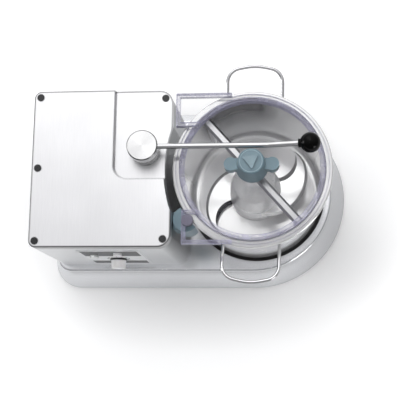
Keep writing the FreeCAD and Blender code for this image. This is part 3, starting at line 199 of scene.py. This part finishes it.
    def edge(self, radius=0.0012):
        """About 1 along sharp edges and 0 elsewhere."""
        soft = self.add("ShaderNodeBevel", samples=4)
        soft.inputs["Radius"].default_value = radius
        sharp = self.add("ShaderNodeNewGeometry")
        dot = self.add("ShaderNodeVectorMath", operation="DOT_PRODUCT")
        self.link(soft.outputs["Normal"], dot.inputs[0])
        self.link(sharp.outputs["Normal"], dot.inputs[1])
        return self.spread(dot.outputs["Value"], 1, 0, 0.75, 0.99)


def shade(colour, factor):
    return tuple(min(1.0, part * factor) for part in colour)


def metal(name, colour, rough, grain=(1, 1, 1), turn=(0, 0, 0), grain_scale=600, grain_bump=0.06,
          metallic=1.0, rim=1.18, rim_radius=0.0012, cloud=0.05, slope_shade=None, side_shade=None, right=None,
          scoop_shade_axis=None, bead_shade=False, outline=None):
    """Brushed or cast metal: fine grain stretched along one axis, slow clouds, and edges that go paler
    as wear when rim is above 1 and darker as painted shade when it is below 1. The other options all
    paint shade: they darken the sloping faces, the upright faces and the faces that face right. An
    axis given for a blade's hollow edge makes sloping faces that don't look away from it nearly
    black, a painted shadow. Painted shade also darkens the upright face under the rounded edge of
    the base, and paints a dark line along the border of a rounded rectangle (middle, half size,
    left and right corner radius) given as outline."""
    g = Graph(name)
    fine = g.noise(g.position(grain, turn), grain_scale, 4.0, 0.6)
    slow = g.noise(g.position(), 9, 2.0)
    tone = g.blend(g.spread(slow, 0, 1), shade(colour, 1 - cloud), shade(colour, 1 + cloud))
    tone = g.blend(g.spread(fine, 0, 0.35), tone, shade(colour, 0.88))
    # Edges: rim above 1 pales them as wear, rim below 1 darkens them as painted shade.
    share = 0.45 if rim > 1 else 0.9
    tone = g.blend(g.maths("MULTIPLY", g.edge(rim_radius), share), tone, shade(colour, rim))
    # Painted shade: sloping faces are darkened.
    if slope_shade is not None:
        tone = g.blend(g.band(g.rise(), 0.25, 0.95), tone, shade(colour, slope_shade))
    # Painted shade: the upright face under the base's rounded edge is darkened.
    if bead_shade:
        where = g.add("ShaderNodeTexCoord")
        split = g.add("ShaderNodeSeparateXYZ")
        g.link(where.outputs["Object"], split.inputs["Vector"])
        face = g.band(split.outputs["Z"], 0.0495, 0.0555, 0.0004)
        tone = g.blend(g.maths("MULTIPLY", face, g.spread(g.rise(), 1, 0, 0.2, 0.5)), tone,
                       shade(colour, 0.62))
    # Painted shade: a dark line along the inside of the rounded rectangle's border.
    if outline is not None:
        middle, half, left_corner, right_corner = outline
        where = g.add("ShaderNodeTexCoord")
        split = g.add("ShaderNodeSeparateXYZ")
        g.link(where.outputs["Object"], split.inputs["Vector"])
        on_right = g.maths("GREATER_THAN", split.outputs["X"], middle[0])
        on_left = g.maths("SUBTRACT", 1.0, on_right)
        border = g.maths("ADD", g.maths("MULTIPLY", g.border(middle, half, left_corner), on_left),
                         g.maths("MULTIPLY", g.border(middle, half, right_corner), on_right))
        tone = g.blend(g.maths("MULTIPLY", border, 0.7), tone, shade(colour, 0.2))
    # Painted shadow: sloping faces of the hollow edge that look towards the axis go nearly black.
    if scoop_shade_axis is not None:
        outward = g.away_from(scoop_shade_axis)
        inner = g.spread(outward, 1, 0, 0.15, 0.4)
        tone = g.blend(g.maths("MULTIPLY", g.band(g.rise(), 0.25, 0.97), inner), tone,
                       shade(colour, 0.03))
    # Painted shade: upright faces are darkened.
    if side_shade is not None:
        tone = g.blend(g.spread(g.rise(), 1, 0, 0.15, 0.75), tone, shade(colour, side_shade))
    # Painted shade: faces that face right are darkened.
    if right is not None:
        tone = g.blend(g.spread(g.lean(), 0, 1, 0.2, 0.9), tone, shade(colour, right))
    g.link(tone, g.shader.inputs["Base Color"])
    g.value("Metallic", metallic)
    g.link(g.spread(fine, rough * 0.85, rough * 1.2), g.shader.inputs["Roughness"])
    g.bump(fine, grain_bump, 0.0002)
    return g.material


def round_metal(name, colour, rough, centre, rings=900, ring_bump=0.05, metallic=1.0, ring_tone=0.4,
                spokes=0.0, slope_shade=None, painted_reflection_levels=None, rim_level=None):
    """Metal turned or brushed in circles about an upright line. Spokes paints in the fans of light and
    shade that cross a turned face. Between two wall levels the inner wall is painted nearly black
    upwards at the back, a painted dark reflection, with slow painted dark streaks all round; its
    specular tint and metal share drop with it. Faces above rim_level get painted shade that dims
    their reflection, and sloping faces can be given painted shade too."""
    g = Graph(name)
    where = g.add("ShaderNodeTexCoord")
    shift = g.add("ShaderNodeVectorMath", operation="SUBTRACT")
    shift.inputs[1].default_value = (centre[0], centre[1], 0)
    g.link(where.outputs["Object"], shift.inputs[0])
    flat = g.add("ShaderNodeVectorMath", operation="MULTIPLY")
    flat.inputs[1].default_value = (1, 1, 0)
    g.link(shift.outputs["Vector"], flat.inputs[0])
    reach = g.add("ShaderNodeVectorMath", operation="LENGTH")
    g.link(flat.outputs["Vector"], reach.inputs[0])
    split = g.add("ShaderNodeSeparateXYZ")
    g.link(shift.outputs["Vector"], split.inputs["Vector"])
    pair = g.add("ShaderNodeCombineXYZ")
    g.link(reach.outputs["Value"], pair.inputs["X"])
    g.link(split.outputs["Z"], pair.inputs["Y"])
    fine = g.noise(pair.outputs["Vector"], rings, 3.0, 0.6)
    slow = g.noise(shift.outputs["Vector"], 14, 2.0)
    tone = g.blend(g.spread(fine, 0, ring_tone), shade(colour, 1.04), shade(colour, 0.86))
    tone = g.blend(g.spread(slow, 0, ring_tone), tone, shade(colour, 0.95))
    if spokes:
        angle = g.maths("ARCTAN2", split.outputs["Y"], split.outputs["X"])
        fan = g.maths("SINE", g.maths("MULTIPLY", angle, 2.0))
        tone = g.blend(g.spread(fan, 0, spokes, -1, 1), tone, shade(colour, 0.55))
    # Painted reflection: a dark patch on the inner wall at the back, darker upwards, and slow dark
    # streaks all round; specular tint and metal share follow it.
    if painted_reflection_levels is not None:
        round_way = g.add("ShaderNodeVectorMath", operation="NORMALIZE")
        g.link(flat.outputs["Vector"], round_way.inputs[0])
        toward = g.add("ShaderNodeVectorMath", operation="DOT_PRODUCT")
        toward.inputs[1].default_value = (-0.27, 0.963, 0)
        g.link(round_way.outputs["Vector"], toward.inputs[0])
        broad = g.spread(toward.outputs["Value"], 0, 1, 0.80, 0.93)
        broad = g.maths("MULTIPLY", broad, g.spread(split.outputs["Z"], 0, 1, *painted_reflection_levels))
        broad = g.maths("MULTIPLY", broad, g.spread(g.away_from(centre), 1, 0, -0.3, 0.0))
        reflection_streak = g.spread(g.noise(round_way.outputs["Vector"], 3.2, 3.0), 0, 0.12, 0.48, 0.72)
        upright = g.spread(g.rise(), 1, 0, 0.2, 0.6)
        share = g.maths("MULTIPLY", g.maths("ADD", broad, reflection_streak), upright)
        tone = g.blend(share, tone, shade(colour, 0.06))
        g.link(g.blend(share, (1.0, 1.0, 1.0), (0.02, 0.02, 0.02)), g.shader.inputs["Specular Tint"])
        bare = g.maths("SUBTRACT", 1.0, g.maths("MULTIPLY", broad, upright))
        g.link(g.maths("MULTIPLY", bare, metallic), g.shader.inputs["Metallic"])
    # Painted shade: level faces above rim_level are darkened to dim their reflection.
    if rim_level is not None:
        high = g.spread(split.outputs["Z"], 0, 1, rim_level, rim_level + 0.0005)
        tone = g.blend(g.maths("MULTIPLY", high, g.spread(g.rise(), 0, 1, 0.8, 0.95)), tone,
                       shade(colour, 0.64))
    # Painted shade: sloping faces are darkened.
    if slope_shade is not None:
        tone = g.blend(g.band(g.rise(), 0.25, 0.95), tone, shade(colour, slope_shade))
    tone = g.blend(g.maths("MULTIPLY", g.edge(0.0008), 0.4), tone, shade(colour, 1.15))
    g.link(tone, g.shader.inputs["Base Color"])
    g.value("Metallic", metallic)
    g.link(g.spread(fine, rough * 0.8, rough * 1.25), g.shader.inputs["Roughness"])
    g.bump(fine, ring_bump, 0.0002)
    return g.material


def plastic(name, colour, rough, speck=0.08, grain_scale=900, grain_bump=0.08, coat=0.0, metallic=0.0,
            specular=0.5):
    """Moulded plastic or rubber: fine texture, slow colour drift and slightly paler worn edges."""
    g = Graph(name)
    fine = g.noise(g.position(), grain_scale, 3.0)
    slow = g.noise(g.position(), 25, 2.0)
    tone = g.blend(g.spread(slow, 0, 1), shade(colour, 1 - speck), shade(colour, 1 + speck))
    rim = tuple(part + (1 - part) * 0.12 for part in colour)
    tone = g.blend(g.maths("MULTIPLY", g.edge(0.0008), 0.5), tone, rim)
    g.link(tone, g.shader.inputs["Base Color"])
    g.link(g.spread(fine, rough * 0.85, rough * 1.2), g.shader.inputs["Roughness"])
    g.value("Coat Weight", coat)
    g.value("Metallic", metallic)
    g.value("Specular IOR Level", specular)
    g.bump(fine, grain_bump, 0.0002)
    return g.material


def paint_all(name_list, material):
    for name in name_list:
        mesh = nodes[name].data
        mesh.materials.clear()
        mesh.materials.append(material)


def clear_plastic(name, tint, face_share, wall_share, rim_level, rim_share):
    """Clear moulded plastic: flat faces nearly vanish, upright walls and raised rims gather the
    tint."""
    g = Graph(name)
    g.link(g.blend(g.noise(g.position(), 60, 2.0), shade(tint, 0.92), shade(tint, 1.06)),
           g.shader.inputs["Base Color"])
    g.value("Roughness", 0.12)
    fine = g.noise(g.position(), 90, 2.0)
    g.bump(fine, 0.04, 0.0004)
    through = g.add("ShaderNodeBsdfTransparent")
    through.inputs["Color"].default_value = (0.996, 0.996, 0.995, 1)
    facing = g.add("ShaderNodeNewGeometry")
    split = g.add("ShaderNodeSeparateXYZ")
    g.link(facing.outputs["Normal"], split.inputs["Vector"])
    level = g.maths("ABSOLUTE", split.outputs["Z"])
    share = g.spread(level, wall_share, face_share, 0.15, 0.85)
    where = g.add("ShaderNodeTexCoord")
    height = g.add("ShaderNodeSeparateXYZ")
    g.link(where.outputs["Object"], height.inputs["Vector"])
    raised = g.spread(height.outputs["Z"], 0, rim_share, rim_level, rim_level + 0.0008)
    raised = g.maths("MULTIPLY", raised, g.spread(g.noise(g.position(), 70, 3.0), 0.45, 1.15))
    share = g.maths("MAXIMUM", share, raised)
    edge = g.maths("MULTIPLY", g.edge(0.0015), 0.75)
    share = g.maths("MINIMUM", g.maths("ADD", share, edge), 1.0)
    body = g.add("ShaderNodeMixShader")
    g.link(share, body.inputs["Fac"])
    g.link(through.outputs["BSDF"], body.inputs[1])
    g.link(g.shader.outputs["BSDF"], body.inputs[2])
    grazing = g.add("ShaderNodeFresnel")
    grazing.inputs["IOR"].default_value = 1.2
    shine = g.add("ShaderNodeBsdfAnisotropic")
    shine.inputs["Roughness"].default_value = 0.08
    whole = g.add("ShaderNodeMixShader")
    outside = g.maths("SUBTRACT", 1.0, facing.outputs["Backfacing"])
    gloss = g.maths("MULTIPLY", grazing.outputs["Fac"], g.spread(level, 0, 1, 0.5, 0.9))
    g.link(g.maths("MULTIPLY", gloss, outside), whole.inputs["Fac"])
    g.link(body.outputs["Shader"], whole.inputs[1])
    g.link(shine.outputs["BSDF"], whole.inputs[2])
    g.link(whole.outputs["Shader"], g.output.inputs["Surface"])
    return g.material


def light_rig():
    """A broad pale sky, brighter behind and to the left, and one soft lamp from there."""
    scene = bpy.context.scene
    scene.view_settings.view_transform = "Standard"
    world = bpy.data.worlds.new("studio")
    scene.world = world
    world.use_nodes = True
    tree = world.node_tree
    background = tree.nodes["Background"]
    where = tree.nodes.new("ShaderNodeTexCoord")
    aim = tree.nodes.new("ShaderNodeVectorMath")
    aim.operation = "DOT_PRODUCT"
    aim.inputs[1].default_value = Vector((-0.10, 0.70, 0.70)).normalized()
    tree.links.new(where.outputs["Generated"], aim.inputs[0])
    ramp = tree.nodes.new("ShaderNodeValToRGB")
    tree.links.new(aim.outputs["Value"], ramp.inputs["Fac"])
    stops = ramp.color_ramp.elements
    stops[0].position = 0.0
    stops[0].color = (0.28, 0.283, 0.288, 1)
    stops[1].position = 1.0
    stops[1].color = (1.0, 1.0, 1.0, 1)
    for place, tone in ((0.30, 0.42), (0.60, 0.70), (0.84, 0.97)):
        stop = stops.new(place)
        stop.color = (tone, tone, tone * 1.02, 1)
    seen = tree.nodes.new("ShaderNodeLightPath")
    mix = tree.nodes.new("ShaderNodeMix")
    mix.data_type = "RGBA"
    tree.links.new(seen.outputs["Is Camera Ray"], mix.inputs["Factor"])
    tree.links.new(ramp.outputs["Color"], mix.inputs[6])
    mix.inputs[7].default_value = (1.1, 1.1, 1.1, 1)
    tree.links.new(mix.outputs[2], background.inputs["Color"])
    background.inputs["Strength"].default_value = 0.92

    def lamp(name, place, aim_at, size, watts, diffuse=True, gloss=True, spread=180):
        data = bpy.data.lights.new(name, "AREA")
        data.shape = "SQUARE"
        data.size = size
        data.energy = watts
        made = bpy.data.objects.new(name, data)
        made.location = place
        made.rotation_euler = (Vector(aim_at) - Vector(place)).to_track_quat("-Z", "Y").to_euler()
        data.spread = math.radians(spread)
        made.visible_diffuse = diffuse
        made.visible_glossy = gloss
        bpy.context.scene.collection.objects.link(made)

    lamp("key_lamp", (-0.5, 1.5, 1.9), (0.0, 0.0, 0.1), 1.6, 9)
    lamp("left_glint", (-1.6, 0.1, 0.5), (0.1, 0.0, 0.25), 0.6, 6, diffuse=False)
    lamp("right_glint", (1.3, -1.3, 0.5), (0.1, 0.0, 0.25), 0.6, 6, diffuse=False)
    lamp("soft_box", (0.06, 0.36, 1.40), (0.10, 0.0, 0.06), 0.42, 0.75)
    lamp("panel_fill", (-0.12, -1.20, 0.90), (-0.118, -0.12, 0.16), 0.10, 0.04, gloss=False, spread=14)
    lamp("bowl_fill", (0.18, -0.60, 1.60), (0.10, 0.0, 0.10), 0.10, 0.04, gloss=False, spread=16)


def make_floor():
    bpy.ops.mesh.primitive_plane_add(size=12, location=(0, 0, 0))
    floor = bpy.context.object
    floor.name = "floor"
    g = Graph("floor_paper")
    g.value("Base Color", (0.90, 0.90, 0.90, 1))
    g.value("Roughness", 0.9)
    glow = g.add("ShaderNodeEmission")
    ray = g.add("ShaderNodeLightPath")
    seen = g.maths("MAXIMUM", ray.outputs["Is Camera Ray"], ray.outputs["Is Transmission Ray"])
    seen = g.maths("MAXIMUM", seen, g.maths("MULTIPLY", ray.outputs["Is Glossy Ray"], 0.5))
    # Painted shadow: the glow fades close to the machine and dips further at a spot by its front right,
    # deepening the shadow there.
    place = g.add("ShaderNodeTexCoord")
    reach = g.add("ShaderNodeVectorMath", operation="MULTIPLY")
    reach.inputs[1].default_value = (1 / 0.26, 1 / 0.17, 0)
    g.link(place.outputs["Object"], reach.inputs[0])
    away = g.add("ShaderNodeVectorMath", operation="LENGTH")
    g.link(reach.outputs["Vector"], away.inputs[0])
    glow_with_painted_shadow = g.spread(away.outputs["Value"], 0.21, 0.50, 0.97, 1.58)
    corner = g.add("ShaderNodeVectorMath", operation="DISTANCE")
    corner.inputs[1].default_value = (0.262, -0.10, 0)
    g.link(place.outputs["Object"], corner.inputs[0])
    glow_with_painted_shadow = g.maths("SUBTRACT", glow_with_painted_shadow, g.spread(corner.outputs["Value"], 0.09, 0, 0.03, 0.10))
    g.link(g.maths("MULTIPLY", seen, glow_with_painted_shadow), glow.inputs["Strength"])
    both = g.add("ShaderNodeAddShader")
    g.link(g.shader.outputs["BSDF"], both.inputs[0])
    g.link(glow.outputs["Emission"], both.inputs[1])
    g.link(both.outputs["Shader"], g.output.inputs["Surface"])
    floor.data.materials.append(g.material)


# Small made pieces.
def mesh_piece(name, mesh_data, material, body):
    """An object from a finished bmesh, moving with a body."""
    mesh = bpy.data.meshes.new(name)
    mesh_data.to_mesh(mesh)
    mesh_data.free()
    for face in mesh.polygons:
        face.use_smooth = True
    piece = bpy.data.objects.new(name, mesh)
    bpy.context.scene.collection.objects.link(piece)
    mesh.materials.append(material)
    crease = piece.modifiers.new("crease", "EDGE_SPLIT")
    crease.split_angle = math.radians(35)
    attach(piece, body)
    return piece


def turned(name, outline, centre, material, body, steps=64, teeth=0, tooth_depth=0.0):
    """A ring made by turning a closed outline of (radius, level) points, with or without teeth on
    its outside."""
    made = bmesh.new()
    widest = max(radius for radius, level in outline)
    rings = []
    for step in range(steps):
        angle = 2 * math.pi * step / steps
        wave = tooth_depth * (0.5 - 0.5 * math.cos(teeth * angle))
        ring = []
        for radius, level in outline:
            far = radius - wave * (radius > widest - 0.0007)
            ring.append(made.verts.new((centre[0] + far * math.cos(angle),
                                        centre[1] + far * math.sin(angle), level)))
        rings.append(ring)
    count = len(outline)
    for step, ring in enumerate(rings):
        other = rings[(step + 1) % steps]
        for index in range(count):
            after = (index + 1) % count
            made.faces.new((ring[index], other[index], other[after], ring[after]))
    bmesh.ops.recalc_face_normals(made, faces=made.faces)
    return mesh_piece(name, made, material, body)


def lid_details(ink):
    """The knurled collar on the front ear's magnet boss, and the turned line on the scraper's knob."""
    bowl_low, bowl_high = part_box("bowl_floor")
    axis = (bowl_low + bowl_high) / 2
    magnet_low, magnet_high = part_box("lid_magnet")
    boss = (magnet_low + magnet_high) / 2
    foot, top = 0.2495, 0.2602
    collar = [(0.0071, foot), (0.0092, foot), (0.0092, top - 0.0008), (0.0084, top), (0.0003, top),
              (0.0003, top - 0.0005), (0.0071, top - 0.0005)]
    turned("boss_collar", collar, boss, ink["collar"], "lid", 144, 16, 0.0014)
    knob_low, knob_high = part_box("scraper_knob")
    level = knob_high.z
    line = [(0.0156, level - 0.0003), (0.0160, level + 0.0003), (0.0165, level + 0.0003),
            (0.0169, level - 0.0003)]
    turned("knob_line", line, axis, ink["knob_line"], "scraper", 96)


def dial_marks(ink):
    """Plain marks round the speed knob, longer at the ends of its travel."""
    knob_low, knob_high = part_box("speed_knob")
    panel_low, panel_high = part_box("control_panel")
    centre = (knob_low + knob_high) / 2
    face = panel_low.y
    made = bmesh.new()
    for step in range(11):
        angle = math.radians(-45 + 27 * step)
        length = 0.0042 if step in (0, 5, 10) else 0.0028
        reach = 0.0158 + length / 2
        spot = Matrix.Translation((centre.x + reach * math.cos(angle), face - 0.0001,
                                   centre.z + reach * math.sin(angle)))
        turn = Matrix.Rotation(-angle, 4, "Y")
        size = Matrix.Diagonal((length, 0.0004, 0.0009, 1))
        bmesh.ops.create_cube(made, size=1, matrix=spot @ turn @ size)
    bmesh.ops.bevel(made, geom=made.edges[:], offset=0.0001, segments=1, affect="EDGES")
    mesh_piece("dial_marks", made, ink["print"], "base")


def panel_film():
    """The control panel's printed film: dark fields at its top and bottom, a pale one between."""
    g = Graph("panel_film")
    low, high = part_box("control_panel")
    where = g.add("ShaderNodeTexCoord")
    split = g.add("ShaderNodeSeparateXYZ")
    g.link(where.outputs["Object"], split.inputs["Vector"])
    soft = 0.0003
    inside = g.band(split.outputs["X"], low.x + 0.004, high.x - 0.004, soft)
    top = g.band(split.outputs["Z"], high.z - 0.053, high.z - 0.004, soft)
    foot = g.band(split.outputs["Z"], low.z + 0.004, low.z + 0.034, soft)
    fine = g.noise(g.position(), 1400, 2.0)
    pale = g.blend(g.spread(g.noise(g.position(), 30), 0, 1), (0.80, 0.81, 0.82), (0.86, 0.87, 0.88))
    dark = g.blend(g.spread(fine, 0, 1), (0.045, 0.047, 0.05), (0.075, 0.077, 0.08))
    tone = g.blend(g.maths("MULTIPLY", inside, g.maths("MAXIMUM", top, foot)), pale, dark)
    tone = g.blend(g.maths("MULTIPLY", g.edge(0.0006), 0.4), tone, (0.75, 0.75, 0.76))
    g.link(tone, g.shader.inputs["Base Color"])
    g.link(g.spread(fine, 0.32, 0.48), g.shader.inputs["Roughness"])
    g.bump(fine, 0.08, 0.0001)
    return g.material


def speed_knob_look():
    """White moulded knob whose thin skirt, close to the panel, is black."""
    g = Graph("knob_white")
    knob_low, knob_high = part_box("speed_knob")
    where = g.add("ShaderNodeTexCoord")
    split = g.add("ShaderNodeSeparateXYZ")
    g.link(where.outputs["Object"], split.inputs["Vector"])
    fine = g.noise(g.position(), 900, 3.0)
    slow = g.noise(g.position(), 25, 2.0)
    tone = g.blend(g.spread(slow, 0, 1), (0.90, 0.91, 0.91), (0.95, 0.95, 0.95))
    tone = g.blend(g.maths("MULTIPLY", g.edge(0.0008), 0.3), tone, (1.0, 1.0, 1.0))
    skirt = g.spread(split.outputs["Y"], 0, 1, knob_high.y - 0.0027, knob_high.y - 0.0024)
    tone = g.blend(skirt, tone, (0.02, 0.02, 0.022))
    g.link(tone, g.shader.inputs["Base Color"])
    g.link(g.spread(fine, 0.30, 0.44), g.shader.inputs["Roughness"])
    g.bump(fine, 0.06, 0.0002)
    return g.material


def dress_nodes():
    bowl_low, bowl_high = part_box("bowl")
    bowl_axis = (bowl_low + bowl_high) / 2
    head_low, head_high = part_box("lever_head")
    head_axis = (head_low + head_high) / 2
    lid_plate_top = 0.2485
    cover_low, cover_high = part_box("top_cover")
    cover_shade_outline = ((cover_low + cover_high) / 2, (cover_high - cover_low) / 2, 0.011, 0.020)
    depth = bowl_high.z - bowl_low.z
    painted_reflection_levels = (bowl_low.z + 0.30 * depth, bowl_high.z - 0.28 * depth)
    looks = [
        # Painted shade on the cover: darker edges, sloping faces, upright faces and border line.
        (["top_cover"], metal("cover_satin", (0.82, 0.82, 0.83), 0.34, (30, 1, 30), grain_scale=40,
                              grain_bump=0.03, rim=0.35, rim_radius=0.003, slope_shade=0.18, side_shade=0.66,
                              outline=cover_shade_outline)),
        # Painted shade: the housing's right-facing faces are darker.
        (["motor_housing"], metal("housing_satin", (0.84, 0.85, 0.86), 0.32, (1, 1, 30), grain_scale=40,
                                  grain_bump=0.03, right=0.3)),
        # Painted shade on the base: darker right-facing faces, a darker face under its rounded edge, and
        # darkening towards its outer edge.
        (["base_casting"], metal("base_satin", (0.90, 0.91, 0.93), 0.20, (1, 1, 1), grain_scale=500,
                                 grain_bump=0.012, metallic=0.8, right=0.66, bead_shade=True, rim=0.6,
                                 rim_radius=0.009)),
        # Painted shade: the bar's upright faces are a little darker.
        (["scraper_bar"], metal("bar_steel", (0.58, 0.58, 0.59), 0.34, grain_scale=300, grain_bump=0.02,
                                side_shade=0.8)),
        # Painted shade: the rod's upright faces are much darker.
        (["lever_rod", "lever_stud"],
         metal("rod_steel", (0.68, 0.68, 0.69), 0.12, grain_scale=300, grain_bump=0.02, side_shade=0.22)),
        # Painted shade: the handles' upright faces are much darker.
        (["bowl_handles"],
         metal("handle_steel", (0.66, 0.66, 0.67), 0.12, grain_scale=300, grain_bump=0.02, side_shade=0.15)),
        # Painted shade and shadow: darker edges and sloping faces, and a nearly black hollow edge.
        (["lower_blade"],
         metal("lower_blade_steel", (0.97, 0.97, 0.97), 0.16, grain_scale=500, grain_bump=0.02,
               metallic=0.6, rim=0.9, slope_shade=0.55, scoop_shade_axis=bowl_axis)),
        # Painted shade: darker edges and sloping faces.
        (["upper_blade"],
         metal("upper_blade_steel", (0.97, 0.97, 0.97), 0.16, grain_scale=500, grain_bump=0.02,
               metallic=0.6, rim=0.9, slope_shade=0.55)),
        # Painted reflection and shade: a dark patch and streaks on the inner wall, and a dimmed rim.
        (["bowl"], round_metal("bowl_steel", (0.98, 0.98, 0.985), 0.12, bowl_axis, ring_bump=0.012,
                               metallic=0.55, ring_tone=0.12, painted_reflection_levels=painted_reflection_levels,
                               rim_level=bowl_high.z - 0.002)),
        (["bowl_floor"], round_metal("floor_steel", (0.99, 0.99, 0.99), 0.16, bowl_axis, ring_bump=0.004,
                                     metallic=0.45, ring_tone=0.05)),
        # Painted light and shade: fans across the turned face, and darker sloping faces.
        (["lever_head"], round_metal("turned_steel", (0.84, 0.84, 0.84), 0.24, head_axis, 2500, 0.06,
                                     spokes=0.3, slope_shade=0.2)),
        (["foot_screws", "cover_screws", "spindle_screws", "motor_tie_bolts", "pulley_nut", "lid_magnet",
          "scraper_shaft", "knob_spindle", "base_plate"],
         metal("plain_steel", (0.60, 0.60, 0.61), 0.35, grain_scale=400)),
        (["drive_shaft", "spindle_bearings", "motor_shaft"],
         metal("bright_steel", (0.68, 0.68, 0.69), 0.22, (1, 1, 20), grain_scale=60)),
        (["spindle_housing", "driven_pulley", "motor_pulley", "motor_shields"],
         metal("cast_alloy", (0.62, 0.63, 0.64), 0.48, grain_scale=260, grain_bump=0.25)),
        (["motor_stator", "motor_rotor"],
         metal("laminations", (0.25, 0.24, 0.23), 0.55, (1, 1, 60), grain_scale=30, grain_bump=0.4)),
        (["motor_frame"], metal("motor_paint", (0.10, 0.13, 0.18), 0.42, metallic=0.0, grain_scale=500)),
        (["ball_knob"], plastic("black_gloss", (0.002, 0.002, 0.002), 0.05, speck=0.3, grain_scale=200,
                                grain_bump=0.01, specular=0.1)),
        (["screw_caps"], plastic("cap_black", (0.014, 0.014, 0.015), 0.30)),
        (["rubber_feet", "shaft_seal", "drive_belt", "seat_ring"],
         plastic("black_rubber", (0.022, 0.022, 0.022), 0.75, grain_bump=0.3)),
        (["scraper_knob", "lid_locator"], plastic("blue_grey", (0.18, 0.27, 0.315), 0.33)),
        (["knob_pointer"], plastic("pointer_blue_grey", (0.19, 0.285, 0.33), 0.25, coat=0.4)),
        (["cutter_sleeve", "blade_spacer", "cutter_cap", "wall_scrapers", "lid_bush", "lever_washer"],
         plastic("white_moulded", (0.97, 0.97, 0.975), 0.30, speck=0.01, grain_bump=0.02, coat=0.2,
                 metallic=0.6)),
        (["speed_knob"], speed_knob_look()),
        (["start_button", "stop_button"], plastic("button_pale", (0.92, 0.93, 0.93), 0.30, speck=0.03)),
        (["control_panel"], panel_film()),
        (["motor_fan", "speed_potentiometer", "cable_gland", "gland_nut", "lid_switch"],
         plastic("dark_grey", (0.075, 0.075, 0.08), 0.5)),
        (["control_board"], plastic("board_green", (0.03, 0.13, 0.06), 0.4)),
        (["lid_gasket"], plastic("gasket_clear", (0.62, 0.62, 0.64), 0.35)),
        (["lid"], clear_plastic("lid_clear", (0.43, 0.42, 0.58), 0.012, 0.70, lid_plate_top + 0.0006,
                                 0.50)),
    ]
    for names, material in looks:
        paint_all(names, material)


make_camera()
light_rig()
make_floor()
dress_nodes()
inks = {"collar": plastic("collar_smoke", (0.14, 0.13, 0.19), 0.25, coat=0.5),
        "knob_line": plastic("knob_line_pale", (0.34, 0.46, 0.52), 0.3),
        "print": plastic("print_dark", (0.05, 0.05, 0.055), 0.5)}
lid_details(inks)
dial_marks(inks)
